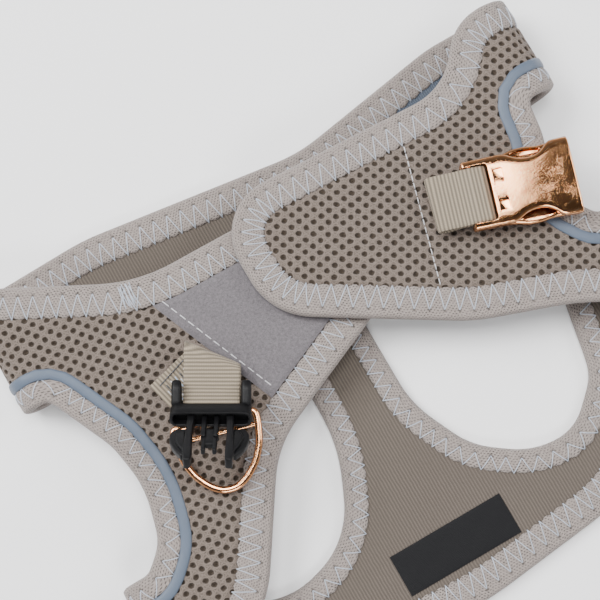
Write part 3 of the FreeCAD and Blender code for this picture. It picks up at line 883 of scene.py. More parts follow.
# %% Tape, zigzag and piping along an edge
class Edge:
    """A bound edge: its path on the pattern, which side the cloth is on, the tape's width, the
    zigzag's pitch and the reach of its needles from the rim."""

    def __init__(self, path, inward, width, place, pitch, reach):
        self.path = path
        self.inward = inward
        self.width = width / MM
        self.place = place
        self.run = run_along(path) / MM
        self.length = self.run[-1]
        count = max(2, int(round(self.length / pitch)))
        self.pitch = self.length / count
        self.count = count
        self.outer, self.inner = reach
        self.outer_start = 0.45 * self.pitch
        self.joint = None
        ahead = np.gradient(path, axis=0)
        ahead /= np.linalg.norm(ahead, axis=1, keepdims=True)
        self.square = inward * np.stack([-ahead[:, 1], ahead[:, 0]], 1)

    def at(self, a, b, n):
        """The place of a point a along the edge, b in from the rim and n below the mesh face."""
        def column(i):
            across = np.interp(a, self.run, self.square[:, i])
            return np.interp(a, self.run, self.path[:, i]) + b * MM * across

        return self.place(column(0), column(1), n * MM)

    def pinch(self, a, b):
        """1 at the needle holes, fading to 0 within a millimetre and a half."""
        half = self.pitch / 2
        from_inner = (a + half) % self.pitch - half
        from_outer = (a - self.outer_start + half) % self.pitch - half
        at_inner = np.exp(-((from_inner / 1.0) ** 2 + ((b - self.inner) / 1.5) ** 2))
        at_outer = np.exp(-((from_outer / 0.9) ** 2 + ((b - self.outer) / 0.9) ** 2))
        return np.clip(at_inner + at_outer, 0.0, 1.0)

    def swell(self, a, b):
        """Height of the tape over its nominal face, in millimetres."""
        share = np.clip(b / self.width, 0.0, 1.0)
        puff = 0.34 * np.sin(math.pi * share ** 0.85) ** 0.7
        slow = 0.06 * np.sin(a * 0.37 + 1.1 * np.sin(a * 0.11))
        lap = 0.0
        if self.joint is not None:
            skew = a - self.joint - 0.12 * b + 0.25 * np.sin(b * 2.1)
            lap = 0.62 * smooth(skew, -0.5, 0.1) * (1.0 - smooth(a, self.joint + 9.0, self.joint + 15.0))
        return puff + slow * np.sin(math.pi * share) - 0.42 * self.pinch(a, b) + lap

    def tape(self, name, material):
        """The tape itself: a C-shaped profile carried along the edge. Its free rim on each face is
        scalloped by the needles."""
        steps = int(round(self.length / (self.pitch / 9.0)))
        a = np.linspace(0.0, self.length, steps + 1)[:, None]
        full = bound_depth / MM
        wall = tape_wall / MM
        share = np.concatenate([np.linspace(0.0, 0.10, 3), np.linspace(0.18, 0.94, 10), [0.985, 1.0]])
        scallop = 0.34 * np.cos(2 * math.pi * a / self.pitch) + 0.12 * np.sin(a * 1.3)
        width = self.width - scallop - 0.15
        turn_in = 1.1

        def sunk(b):
            """How far the face turns in at the rim and dips at the free rim."""
            curl = turn_in * (1 - np.clip(b / turn_in, 0.0, 1.0)) ** 2
            return curl + 0.55 * np.clip((b / width - 0.94) / 0.06, 0.0, 1.0) ** 2

        top_b = share[::-1] * width
        top_n = sunk(top_b) - self.swell(a, top_b)
        low_b = share * width
        low_n = full + self.swell(a, low_b) - sunk(low_b)
        rim_n = np.linspace(turn_in, full - turn_in, 5)[1:-1]
        rim_b = -0.25 * np.sin(math.pi * (rim_n - turn_in) / (full - 2 * turn_in))
        rim_b = np.broadcast_to(rim_b, (len(a), 3))
        inner_b = np.array([0.96, 0.5, 0.14, 0.14, 0.5, 0.96]) * width
        inner_n = np.broadcast_to([full - wall, full - wall, full - wall, wall, wall, wall], inner_b.shape)
        b = np.concatenate([top_b, rim_b, low_b, inner_b], 1)
        n = np.concatenate([top_n, np.broadcast_to(rim_n, rim_b.shape), low_n, inner_n], 1)
        pieces = np.hypot(np.diff(b, axis=1, prepend=b[:, :1]), np.diff(n, axis=1, prepend=n[:, :1]))
        across = np.cumsum(pieces, 1)
        uv = np.stack(np.broadcast_arrays(a, across), -1)
        # the mark, how near a needle hole is, drives the painted shade round the holes in the finish
        return tube_piece(name, self.at(a, b, n), material, uv, False, 70.0, self.pinch(a, b) ** 1.5)

    def zigzag(self, name, material, radius=0.2):
        """The thread on both faces: one leg nearly square to the edge, the next one slanted. Each
        leg is a tube that dives into its two needle holes."""
        stitch_start = np.arange(self.count)[:, None] * self.pitch
        holes = ((0.0, self.inner), (self.outer_start, self.outer), (self.pitch, self.inner))
        share = np.array([0.0, 0.03, 0.12, 0.36, 0.64, 0.88, 0.97, 1.0])
        dive = np.array([0.55, 0.12, 0.0, 0.0, 0.0, 0.0, 0.12, 0.55])
        legs = []
        for face in (-1, 1):
            for (start_a, start_b), (end_a, end_b) in zip(holes, holes[1:]):
                a = stitch_start + start_a + (end_a - start_a) * share
                b = np.broadcast_to(start_b + (end_b - start_b) * share, a.shape)
                a = np.clip(a, 0.1, self.length - 0.1)
                height = self.swell(a, b) + radius * 0.55 - dive
                n = -height if face < 0 else bound_depth / MM + height
                legs.append(threads(self.at(a, b, n), radius * MM))
        return many_tubes(name, np.concatenate(legs), material)

    def bunch(self, name, material, count=11, radius=0.19):
        """Back-and-forth stitches that lock the lapped end of the tape: a fan of threads over it."""
        k = np.arange(count)[:, None]
        share = np.array([0.0, 0.05, 0.2, 0.5, 0.8, 0.95, 1.0])
        a = self.joint - 2.2 + 0.42 * k + (1.6 + 0.9 * np.sin(k * 2.3)) * share
        b = 1.6 + 0.8 * np.sin(k * 1.7) + (8.0 + 0.9 * np.cos(k * 2.9)) * share
        dive = np.array([0.6, 0.12, -0.1, -0.2, -0.1, 0.12, 0.6])
        n = -(self.swell(a, b) + radius * 0.7 - dive)
        return many_tubes(name, threads(self.at(a, b, n), radius * MM), material)

    def piping(self, name, material, start, width, height=0.75):
        """A soft folded strip beside the tape on the mesh face: a flattened tube with a round back."""
        steps = int(round(self.length / 1.5))
        a = np.linspace(0.0, self.length, steps + 1)[:, None]
        turn = np.linspace(0.0, 2 * math.pi, 20, endpoint=False)
        wave = 1.0 + 0.08 * np.sin(a * 0.9 + np.sin(a * 0.23) * 2.0)
        b = start + width / 2 + width / 2 * np.cos(turn) * (1.0 + 0.02 * np.sin(a * 1.9))
        n = np.where(np.sin(turn) > 0, -height * np.abs(np.sin(turn)) ** 0.8 * wave,
                     0.8 * np.abs(np.sin(turn)) ** 0.8)
        uv = np.stack(np.broadcast_arrays(a, turn * width / 2), -1)
        return tube_piece(name, self.at(a, b, n), material, uv, False, 80.0)


zigzag_pitch = 5.4
print("zigzag every %.1f mm" % zigzag_pitch)

# %% The eight edges
def broad_edge(path, inward, place):
    """An outer edge of the vest, with the broad tape."""
    return Edge(path, inward, binding_width, place, zigzag_pitch, (3.3, 11.6))


def leg_edge(path, inward, place):
    """An edge of a leg hole, with the narrow tape."""
    return Edge(path, inward, leg_binding_width, place, zigzag_pitch, (3.0, 8.6))


edges = {
    "chest_neck": broad_edge(rightward(neck_edge), -1, lie_flat),
    "chest_rear": broad_edge(rightward(rear_edge), 1, lie_flat),
    "left_leg_under": leg_edge(downward(left_hole), 1, lie_flat),
    "right_leg_under": leg_edge(downward(right_hole), -1, lie_flat),
}
for fold in (left, right):
    edges[fold.name + "_wing"] = broad_edge(wing_edge[fold.name], -1, fold.place)
    edges[fold.name + "_leg"] = leg_edge(wing_hole[fold.name], 1, fold.place)


def rides_on_edge(piece, name):
    """The chest's edges stay with the chest; a wing's edges only have their placement baked into the mesh."""
    if name in ("chest_neck", "chest_rear") or name.endswith("_under"):
        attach(piece, "root")
    else:
        turns_with(piece, left if name.startswith("left") else right)


for name, edge in edges.items():
    print(name, edge.count, "zigzags")

# %% [markdown]
# ## Where the tape ends
# The two ends of a tape overlap, and the machine goes back and forth there to lock them. The overlap
# is a swell in the tape's height that starts at a skewed line, and a fan of extra threads lies on it.

# %% The lapped end of the left wing's tape
lap_at = left.pattern(np.array([[-59.9 * MM, 68.1 * MM]]))[0]
lapped = edges["left_wing"]
lapped.joint = float(lapped.run[np.argmin(np.linalg.norm(lapped.path - lap_at, axis=1))])
fan = lapped.bunch("lap_stitches", edge_thread)
turns_with(fan, left)
print("tape lapped at %d mm" % lapped.joint)

# %% Tapes with their zigzags, and pipings
tape_nodes = {"chest_neck": ["chest_neck_binding"], "chest_rear": ["chest_rear_binding"],
              "left_leg_under": ["left_leg_binding_under"],
              "right_leg_under": ["right_leg_binding_under"],
              "left_wing": ["left_wing_binding", "left_fold_bindings"],
              "right_wing": ["right_wing_binding", "right_fold_bindings"],
              "left_leg": ["left_leg_binding"], "right_leg": ["right_leg_binding"]}
for name, nodes in tape_nodes.items():
    tape = edges[name].tape(name + "_tape", binding_tape)
    thread = edges[name].zigzag(name + "_zigzag", edge_thread)
    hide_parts(*nodes)
    for piece in (tape, thread):
        rides_on_edge(piece, name)

piping_nodes = {"left_leg_under": ["left_leg_piping_under"],
                "right_leg_under": ["right_leg_piping_under"],
                "left_leg": ["left_leg_piping", "left_fold_piping"],
                "right_leg": ["right_leg_piping", "right_fold_piping"]}
for name, nodes in piping_nodes.items():
    strip = edges[name].piping(name + "_piping_strip", leg_piping, leg_binding_width / MM - 0.3,
                               piping_width / MM)
    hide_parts(*nodes)
    rides_on_edge(strip, name)
print("bindings ready")

# %% [markdown]
# ## Webbing
# Each strap is one long band of ribbed webbing. It is drawn as a path in the strap's own upright
# plane and swept with a flat profile whose ribs are real. Where the strap is creased at an angle, the
# band is sheared there, so that the crease lies along the fold line and not square to the strap.

# %% The strap's own frame
class Local:
    """A frame on the harness: x along a heading, y to its left, z up; tilt lifts the x axis."""

    def __init__(self, origin, heading, tilt=0.0):
        h, t = math.radians(heading), math.radians(tilt)
        self.origin = np.array(origin) * MM
        ahead = [math.cos(h) * math.cos(t), math.sin(h) * math.cos(t), math.sin(t)]
        aside = [-math.sin(h), math.cos(h), 0.0]
        self.axes = np.array([ahead, aside, np.cross(ahead, aside)])

    def place(self, points):
        """Points given in millimetres in this frame, in space."""
        return self.origin + (np.asarray(points) * MM) @ self.axes


def hinge(name, height=None):
    """Where a joint of the frame turns, in millimetres to the nearest hundredth; height, if given,
    stands in for its own."""
    x, y, z = (round(value / MM, 2) for value in joint[name]["pos_m"])
    return (x, y, z if height is None else height)


webbing_half = 10.0
webbing_thick = 1.25
rib_pitch = 1.35
print("webbing %.0f mm wide" % (2 * webbing_half))

# %% Paths and the band swept along them
def arc(centre, radius, start, end, count=14):
    """Points (x, z) on an arc, angles in degrees."""
    turn = np.radians(np.linspace(start, end, count))
    return np.stack([centre[0] + radius * np.cos(turn), centre[1] + radius * np.sin(turn)], 1)


def resample(path, step, closed):
    """The path with points at even distances."""
    if closed:
        path = np.concatenate([path, path[:1]])
    run = run_along(path)
    count = int(round(run[-1] / step))
    along = np.linspace(0.0, run[-1], count + 1)
    if closed:
        along = along[:-1]
    return np.stack([np.interp(along, run, path[:, 0]), np.interp(along, run, path[:, 1])], 1), along


def band(name, frame_at, path, closed, shear, half=webbing_half, thick=webbing_thick, middle=0.0,
         columns=13):
    """Webbing along a path of (x, z). Its profile is flat with two round selvages, and across it the
    ribs swell and sink the thickness. shear(x) moves each point along x by that much per y, and the
    ribs stay square to the strap there."""
    spots, along = resample(path, rib_pitch / 6.0, closed)
    if closed:
        ahead = np.roll(spots, -1, axis=0) - np.roll(spots, 1, axis=0)
    else:
        ahead = np.gradient(spots, axis=0)
    ahead /= np.linalg.norm(ahead, axis=1, keepdims=True)
    inside = np.linspace(-half + 1.2, half - 1.2, columns)
    flat = np.concatenate([[-half, -half + 0.25], inside, [half - 0.25, half]])
    y = np.concatenate([flat, flat[::-1]])[None, :]
    face = np.repeat([1.0, -1.0], len(flat))[None, :]
    rim = np.clip((half - np.abs(y)) / 0.45, 0.0, 1.0) ** 0.5 * 0.75 + 0.25
    slide = shear(spots[:, :1]) * (y + middle)
    phase = along[:, None] + ahead[:, :1] * slide
    ribs = np.abs(np.sin(math.pi * phase / rib_pitch)) - 0.6
    inner = smooth(half - np.abs(y), 0.5, 1.3)
    height = face * (thick / 2 * rim + 0.11 * ribs * inner)
    x = spots[:, :1] - ahead[:, 1:] * height
    z = spots[:, 1:] + ahead[:, :1] * height
    grid = np.stack(np.broadcast_arrays(x + slide, y + middle, z), -1)
    uv = np.stack(np.broadcast_arrays(phase - rib_pitch / 4.0, y + 2.4 * half * (face < 0)), -1)
    piece = tube_piece(name, frame_at.place(grid), webbing, uv, closed, 70.0)
    return piece


print("band helpers ready")

# %% The doubled straps and the strips they are sewn to
def loop_path(length, bar_z, roll_z, roll_radius, nose, bar_radius=1.5):
    """Doubled strap: out along the lower layer, round the bar with a nose beyond it, back along the
    upper layer and round the crease."""
    bar = bar_radius + 0.15 + webbing_thick / 2
    roll = roll_radius - webbing_thick / 2 - 0.05
    layer = webbing_thick / 2 + 0.03
    low_x = np.array([0.30, 0.55]) * length
    low_z = np.array([bar_z - layer - 0.8, bar_z - layer - 0.05])
    return np.concatenate([
        np.stack([low_x, low_z], 1),
        arc((length, bar_z), bar, -112, -80),
        arc((length + nose, bar_z), bar * 0.86, -80, 80),
        arc((length, bar_z), bar, 80, 112),
        np.array([[0.62 * length, bar_z + layer + 0.15], [0.40 * length, bar_z + layer]]),
        arc((0.0, roll_z), roll, 85, 275),
    ])


plug_heading = -120.0
socket_heading = -17.7
male_crease = Local(hinge("male_strap_flip", 0.0), plug_heading)
female_crease = Local(hinge("female_strap_flip", 0.0), socket_heading)
for name, at, skew, length, roll_radius, nose in (
        ("male", male_crease, 67.25, 15.0, 3.65, 1.0),
        ("female", female_crease, 92.35, 12.5, 3.05, 3.4)):
    slant = 1.0 / math.tan(math.radians(skew))
    fade = 0.8 * length
    bar_z = hinge(name + "_buckle_tilt")[2]
    roll_z = hinge(name + "_strap_flip")[2]
    piece = band(name + "_strap_band", at, loop_path(length, bar_z, roll_z, roll_radius, nose), True,
                 lambda x: slant * np.clip(1.0 - x / fade, 0.0, 1.0), columns=45)
    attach(piece, name + "_strap")
    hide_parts(name + "_webbing_loop")

male_base = Local(hinge("male_strap_flip", 0.0), 194.5)
female_base = Local(hinge("female_strap_flip", 0.0), -13.0)
left_face = 2 * left.radius / MM
right_face = 2 * right.radius / MM
for name, at, skew, length, face_z, body in (
        ("male", male_base, -247.25, 22.0, left_face, "left_wing"),
        ("female", female_base, 87.65, 24.0, right_face, "right_wing")):
    slant = 1.0 / math.tan(math.radians(skew))
    height = face_z + webbing_thick / 2 + 0.02
    path = np.array([[0.3, height], [length * 0.5, height], [length, height]])
    piece = band(name + "_base_band", at, path, False,
                 lambda x: slant * np.clip(1.0 - x / 9.0, 0.0, 1.0))
    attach(piece, body)
    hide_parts(name + "_base_webbing")

print("straps ready")

# %% [markdown]
# ## Sewn rows
# The strip under the plug is held by rows of short stitches in three threads. A row is split evenly,
# and each stitch is a small tube whose ends go down into the webbing.

# %% The sewn rows on the plug's strip
def tack_rows(name, at, rows, height, material, radius=0.2, stitch=1.5):
    """Rows of short stitches: each row goes from one (x, y) to another and is split into stitches
    that dive at both ends."""
    legs = []
    for x0, y0, x1, y1 in rows:
        long = math.hypot(x1 - x0, y1 - y0)
        count = max(1, int(long / stitch))
        share = np.array([0.0, 0.1, 0.3, 0.5, 0.7, 0.9, 1.0]) * 0.94
        t = (np.arange(count)[:, None] + share) / count
        z = height + radius * 0.6 - np.array([0.6, 0.15, 0.0, 0.0, 0.0, 0.15, 0.6])
        grid = np.stack(np.broadcast_arrays(x0 + (x1 - x0) * t, y0 + (y1 - y0) * t, z), -1)
        legs.append(threads(at.place(grid), radius * MM))
    return many_tubes(name, np.concatenate(legs), material)


dark_thread = thread_finish("dark_thread", (0.045, 0.047, 0.055))
blue_thread = thread_finish("blue_thread", (0.42, 0.50, 0.62))
male_top = left_face + webbing_thick + 0.06
tack_x = [9.0 + 1.05 * k for k in range(10)]
rows = [(x, -6.0 + 1.9 * (k % 2), x + 0.5, 6.5 - 1.5 * (k % 3)) for k, x in enumerate(tack_x)]
long_rows = [(6.5, -8.2, 19.5, -7.4), (6.5, 8.4, 19.5, 7.6)]
tacks = [tack_rows("male_tack_pale", male_base, rows[::3], male_top, seam_thread, 0.26),
         tack_rows("male_tack_blue", male_base, rows[1::3], male_top, blue_thread, 0.26),
         tack_rows("male_tack_dark", male_base, rows[2::3] + long_rows, male_top, dark_thread, 0.24)]
for piece in tacks:
    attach(piece, "left_wing")
print("webbing ready")

# %% [markdown]
# ## Hook-and-loop patches and the label
# The loop patch is a pad of brushed fabric with a soft rounded edge. Its outline is read from the
# frame, and a running stitch holds it a few millimetres inside that edge.

# %% A soft pad on an outline, and stitches along a path
def pad(name, outline, low, high, material, face_down=False, step=0.8 * MM):
    """A flat pad on a fine grid: its face falls away at the rim and is gently uneven, by the product
    of two sine waves. Grid points just outside the outline are drawn onto it."""
    panel = Panel(outline, [], lie_flat, -1.0, 1.0)
    x, y, row = panel.grid(0.0, step / MM, step / MM)[:3]
    far = far_from(x, y, np.concatenate([outline, outline[:1]]))
    inside = lies_inside(x, y, outline)
    snap = (~inside) & (far < 1.5 * step)
    near = nearest_on(np.stack([x[snap], y[snap]], 1), outline)
    x[snap], y[snap] = near[:, 0], near[:, 1]
    inside |= snap
    far[snap] = 0.0
    keep = whole_cells(inside)
    round_off = smooth(far, 0.0, 1.4 * MM)
    wavy = 0.06 * MM * np.sin(x * 900) * np.sin(y * 760 + 1.0)
    thick = (high - low) * (0.25 + 0.75 * round_off) + wavy * round_off
    if face_down:
        top, under = np.full(x.shape, high), high - thick
    else:
        top, under = low + thick, np.full(x.shape, low)
    return shell_piece(name, lie_flat(x, y, top), lie_flat(x, y, under), keep, material, row)


def nearest_on(points, outline):
    """The nearest place on a closed outline for each point."""
    ends = np.roll(outline, -1, axis=0)
    best = np.full(len(points), np.inf)
    found = points.copy()
    for start, end in zip(outline, ends):
        along = end - start
        share = np.clip(((points - start) @ along) / max(along @ along, 1e-18), 0.0, 1.0)
        spot = start + share[:, None] * along
        far = np.linalg.norm(points - spot, axis=1)
        nearer = far < best
        best[nearer] = far[nearer]
        found[nearer] = spot[nearer]
    return found


def running_stitch(name, path, height, material, stitch, gap, radius=0.2):
    """Separate stitches along a path in the plane: each one lies on the face and dives at its ends."""
    run = run_along(path) / MM
    count = int(run[-1] / stitch)
    share = np.array([0.0, 0.12, 0.3, 0.5, 0.7, 0.88, 1.0])
    a = (np.arange(count)[:, None] + share * (1 - gap / stitch)) * run[-1] / count
    z = height / MM + radius * 0.5 - np.array([0.7, 0.1, 0.0, 0.0, 0.0, 0.1, 0.7])
    grid = np.stack([np.interp(a, run, path[:, 0]), np.interp(a, run, path[:, 1]),
                     np.broadcast_to(z * MM, a.shape)], -1)
    return many_tubes(name, threads(grid, radius * MM), material)


print("pad helpers ready")

# %% The loop patch and the hook patch
patch_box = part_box("loop_patch")
loop_outline = outline_of("loop_patch", patch_box[1].z)
piece = pad("loop_pad", loop_outline, left_face * MM, patch_box[1].z, loop_fabric)
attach(piece, "left_wing")
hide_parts("loop_patch")
piece = pad("hook_pad", hook_outline, hook_box[0].z, hook_box[1].z, hook_tape, face_down=True)
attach(piece, "right_wing")
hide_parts("hook_patch")
print("patch outlines", len(loop_outline), len(hook_outline))

# %% [markdown]
# ## The woven label
# The label is a blank strip of black satin on the lining. Its face is a grid whose height falls off
# only close to the rim: one minus the eighth power of the place across, times the same along.

# %% The label
label_low, label_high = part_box("label")
label_at = np.array([(label_low.x + label_high.x) / 2, (label_low.y + label_high.y) / 2])
label_half = np.array([(label_high.x - label_low.x) / 2, (label_high.y - label_low.y) / 2])
gx, gy = np.meshgrid(np.linspace(-1, 1, 93), np.linspace(-1, 1, 33), indexing="ij")
bulge = (1 - gx ** 8) * (1 - gy ** 8)
waves = 0.05 * MM * np.sin(gx * 9) * np.sin(gy * 5)
top = np.stack([label_at[0] + gx * label_half[0], label_at[1] + gy * label_half[1],
                label_high.z - 0.3 * MM + 0.35 * MM * bulge + waves], -1)
low = top.copy()
low[..., 2] = label_low.z - 0.05 * MM


def label_finish():
    """Fine black satin: very close weft lines with a faint grey sheen."""
    colour = (0.0028, 0.0028, 0.0034)
    paint = Paint("label_fabric", colour, 0.7, Specular_IOR_Level=0.2, Sheen_Weight=0.04)
    u, v, spot = paint.pattern()
    weft = v.wave(0.5)
    grain = paint.noise(paint.stretch(spot, (3.0, 6.0, 1.0)), 1.0, 2.0)
    paint.set("Base Color", paint.mix(weft * 0.5 + grain * 0.5, shade(colour, 0.7), shade(colour, 2.6)))
    paint.bump(weft * 0.7 + grain * 0.3, 0.08 * MM)
    return paint.material


label_uv = np.stack([gx * label_half[0] / MM, gy * label_half[1] / MM], -1)
every_cell = whole_cells(np.ones(gx.shape, bool))
piece = shell_piece("label_cloth", top, low, every_cell, label_finish(), label_uv)
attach(piece, "root")
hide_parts("label")
print("patches ready")

# %% [markdown]
# ## Hard parts
# The plug is black moulded plastic and the socket and ring are plated metal. The hard parts are built
# in their own frames at the buckle's bar, from rounded plates, rounded blocks and one lofted shell.

# %% Plates and blocks with rounded rims
def rounded_outline(corners, radius_step=0.35):
    """A smooth closed outline through a drawn one: (x, y, rounding) corners are cut back by their
    rounding and joined by parabolas."""
    points = np.array([corner[:2] for corner in corners], float)
    before, after = np.roll(points, 1, axis=0), np.roll(points, -1, axis=0)
    parts = []
    for here, last, following, (_, _, cut) in zip(points, before, after, corners):
        first, second = last - here, following - here
        reach = min(cut, 0.48 * np.linalg.norm(first), 0.48 * np.linalg.norm(second))
        start = here + first / np.linalg.norm(first) * reach
        end = here + second / np.linalg.norm(second) * reach
        t = np.linspace(0.0, 1.0, 9)[:, None]
        parts.append((1 - t) ** 2 * start + 2 * t * (1 - t) * here + t ** 2 * end)
    return resample(np.concatenate(parts), radius_step, True)[0]


def headings(outline):
    """The unit direction of a closed outline at each point, from its two neighbours."""
    ahead = np.roll(outline, -1, axis=0) - np.roll(outline, 1, axis=0)
    return ahead / np.linalg.norm(ahead, axis=1, keepdims=True)


def outward(outline):
    """The unit direction out of a closed outline at each point, whichever way round it is drawn."""
    ahead = headings(outline)
    following = np.roll(outline, -1, axis=0)
    turned = np.sum(outline[:, 0] * following[:, 1] - following[:, 0] * outline[:, 1])
    return np.stack([ahead[:, 1], -ahead[:, 0]], 1) * np.sign(turned)


quarter_round = ((0.0, 1.0), (0.13, 0.5), (0.5, 0.13), (1.0, 0.0))


def plate_rings(outline, low, high, bevel):
    """Rings of a plate: the outline drawn in by a quarter round at both faces."""
    out = outward(outline)
    levels = [(low + rise * bevel, inset * bevel) for rise, inset in quarter_round]
    levels += [(high - rise * bevel, inset * bevel) for rise, inset in quarter_round[::-1]]
    column = np.ones((len(outline), 1))
    return np.stack([np.concatenate([outline - out * inset, column * z], 1) for z, inset in levels])


def plate(name, at, corners, low, high, material, bevel=0.4, turn=None):
    """A plate with rounded rims in a local frame; turn reorders its (x, y, z) columns."""
    grid = plate_rings(rounded_outline(corners), low, high, bevel)
    if turn:
        grid = grid[..., turn]
    return tube_piece(name, at.place(grid), material, None, False, 50.0)


def block(name, at, low, high, material, bevel=0.5):
    """A box with rounded rims, between two corners."""
    (x0, y0, z0), (x1, y1, z1) = low, high
    corners = [(x0, y0, bevel), (x1, y0, bevel), (x1, y1, bevel), (x0, y1, bevel)]
    return plate(name, at, corners, z0, z1, material, bevel * 0.8)


print("plate helpers ready")

# %% Plastic and plating
def plastic_finish():
    """Black moulded plastic: faint flow marks and a satin surface with light scuffs."""
    colour = (0.0026, 0.0026, 0.0030)
    paint = Paint("black_plastic", colour, 0.42, Specular_IOR_Level=0.2)
    spot = paint.place()
    scuff = paint.noise(paint.stretch(spot, (1.0, 3.0, 1.0)), 900.0, 3.0, 0.6)
    grain = paint.noise(spot, 2600.0, 2.0)
    paint.set("Base Color", paint.mix(scuff, shade(colour, 0.6), shade(colour, 1.9)))
    paint.set("Roughness", scuff * 0.22 + 0.33)
    paint.bump(grain, 0.03 * MM)
    return paint.material


def plated_finish():
    """Polished rose plating: mirror bright, with cloudy rubbed patches, dark brown specks and fine
    scratches, and light streaks of painted highlight along the scratches.
    """
    colour = (0.84, 0.41, 0.19)
    paint = Paint("rose_gold", colour, 0.1, Metallic=1.0)
    spot = paint.place()
    cloud = paint.noise(spot, 130.0, 3.0, 0.6)
    speck = paint.noise(spot, 1500.0, 3.0, 0.75)
    scratch_and_highlight = paint.noise(paint.stretch(spot, (0.35, 3.0, 1.0)), 900.0, 2.0, 0.6)
    rubbed = (cloud * 0.5 + speck * 0.5).step(0.50, 0.60)
    dark_specks = (speck * 0.75 + cloud * 0.25).step(0.56, 0.64)
    # darker brown specks mixed into the colour
    tone = paint.mix(dark_specks * 0.8, (*colour, 1.0), (0.17, 0.085, 0.045, 1.0))
    # painted highlight: light streaks mixed into the colour along the scratch lines
    tone = paint.mix(scratch_and_highlight.step(0.58, 0.70) * 0.5, tone, (0.95, 0.72, 0.52, 1.0))
    paint.set("Base Color", tone)
    paint.set("Roughness", rubbed * 0.16 + scratch_and_highlight * 0.06 + 0.05)
    paint.bump(speck * 0.5 + scratch_and_highlight * 0.5, 0.035 * MM)
    return paint.material


black_plastic = plastic_finish()
rose_gold = plated_finish()
print("hard finishes ready")

# %% [markdown]
# ## The plug
# The plug has a bar for the webbing, a collar that closes the socket's mouth, a guide in the middle
# and two springy arms. Each is a plate or a block with rounded rims, since moulded plastic has no
# sharp edge, and the arms are separate pieces because each one bends by itself.

# %% The plug: bar, fins, collar and guide
plug = Local(hinge("male_buckle_tilt"), plug_heading, 45.0)


def cylinder(name, at, start, end, radius, material, around=20):
    """A round bar between two points, with its ends rounded off."""
    start, end = np.array(start, float), np.array(end, float)
    along = end - start
    length = np.linalg.norm(along)
    along /= length
    side = np.cross(along, [0.0, 0.0, 1.0] if abs(along[2]) < 0.9 else [1.0, 0.0, 0.0])
    side /= np.linalg.norm(side)
    up = np.cross(side, along)
    turn = np.linspace(0.0, 2 * math.pi, around, endpoint=False)
    ring = side * np.cos(turn)[:, None] + up * np.sin(turn)[:, None]
    stops = np.array([0.0, 0.12, 0.4, 1.0])
    place = np.concatenate([stops * radius, length - stops[::-1] * radius])
    size = np.concatenate([[0.5, 0.8, 0.95, 1.0], [1.0, 0.95, 0.8, 0.5]]) * radius
    grid = start + along * place[:, None, None] + ring * size[:, None, None]
    return tube_piece(name, at.place(grid), material, None, False, 60.0)


def collar(name, at, x0, x1, half_y, half_z, material):
    """The plug's collar: a stadium-shaped rim with a recess in its front face."""
    cut = 0.95 * half_z
    corners = [(-half_y, -half_z, cut), (half_y, -half_z, cut), (half_y, half_z, cut), (-half_y, half_z, cut)]
    raised = 0.75
    base = rounded_outline(corners, 0.5) + [0.0, raised]
    levels = [(x0, 0.5), (x0 + 0.15, 0.2), (x0 + 0.5, 0.0), (x1 - 0.5, 0.0), (x1 - 0.12, 0.15), (x1, 0.45),
              (x1, 0.95), (x1 - 0.2, 1.15), (x1 - 2.4, 1.3)]
    out = outward(base)
    column = np.ones((len(base), 1))
    grid = np.stack([np.concatenate([column * x, base - out * inset], 1) for x, inset in levels])
    return tube_piece(name, at.place(grid), material, None, False, 40.0)


plug_pieces = [cylinder("plug_bar", plug, (0, -10.6, 0), (0, 10.6, 0), 1.5, black_plastic),
               collar("plug_collar", plug, 3.9, 8.9, 14.3, 3.5, black_plastic)]
fin = [(4.6, -2.6, 0.8), (4.6, 3.7, 1.5), (0.2, 8.2, 1.0), (-2.6, 9.3, 1.6), (-3.7, 7.6, 1.4),
       (-2.4, 0.0, 3.0), (-1.8, -2.6, 1.2)]
for side, name in ((1, "left"), (-1, "right")):
    low, high = sorted((side * 10.45, side * 13.9))
    plug_pieces.append(plate("plug_fin_" + name, plug, fin, low, high, black_plastic, 1.1, [0, 2, 1]))
for name, low, high in (("left", (6.8, 1.3, -1.5), (17.6, 3.0, 1.7)),
                        ("right", (6.8, -3.0, -1.5), (17.6, -1.3, 1.7)),
                        ("floor", (13.4, -2.6, -1.5), (21.0, 2.6, 0.9)),
                        ("leg_left", (16.4, 1.2, -1.4), (24.0, 2.7, 1.0)),
                        ("leg_right", (16.4, -2.7, -1.4), (24.0, -1.2, 1.0))):
    plug_pieces.append(block("plug_guide_" + name, plug, low, high, black_plastic))
for piece in plug_pieces:
    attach(piece, "male_buckle")
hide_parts("male_buckle_frame")

print("plug frame: %d pieces" % len(plug_pieces))

# %% The plug's two arms: a beam, a paddle to press and a step on it
beam = [(7.4, 5.4, 0.3), (7.4, 8.0, 0.3), (19.0, 8.4, 4.0), (25.0, 8.9, 1.5), (30.0, 8.2, 0.8),
        (29.8, 5.8, 0.8), (26.0, 5.6, 2.0), (18.0, 6.0, 4.0)]
paddle = [(13.6, 8.0, 0.3), (13.2, 12.0, 1.4), (15.4, 13.6, 2.0), (19.0, 13.7, 3.5), (23.0, 12.2, 3.0),
          (26.6, 9.2, 1.5), (26.2, 7.8, 0.5)]
step = [(15.6, 8.0, 0.3), (15.4, 10.6, 1.0), (18.4, 11.9, 2.0), (22.2, 10.6, 2.0), (25.4, 8.4, 0.8),
        (25.0, 7.8, 0.5)]
arm_plates = (("beam", beam, -2.3, 2.4, 0.5), ("paddle", paddle, -2.0, 0.9, 0.7),
              ("step", step, 0.2, 2.0, 0.7))


def mirrored(corners, side, off=0.0):
    """Corners moved along x by off and turned over to the other side where side is -1."""
    return [(x + off, side * y, rounding) for x, y, rounding in corners]


for side, name in ((1, "left"), (-1, "right")):
    body = "male_" + name + "_arm"
    for part, corners, low, high, bevel in arm_plates:
        piece = plate("plug_" + part + "_" + name, plug, mirrored(corners, side), low, high,
                      black_plastic, bevel)
        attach(piece, body)
        if part == "beam":
            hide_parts(body)
print("plug ready")

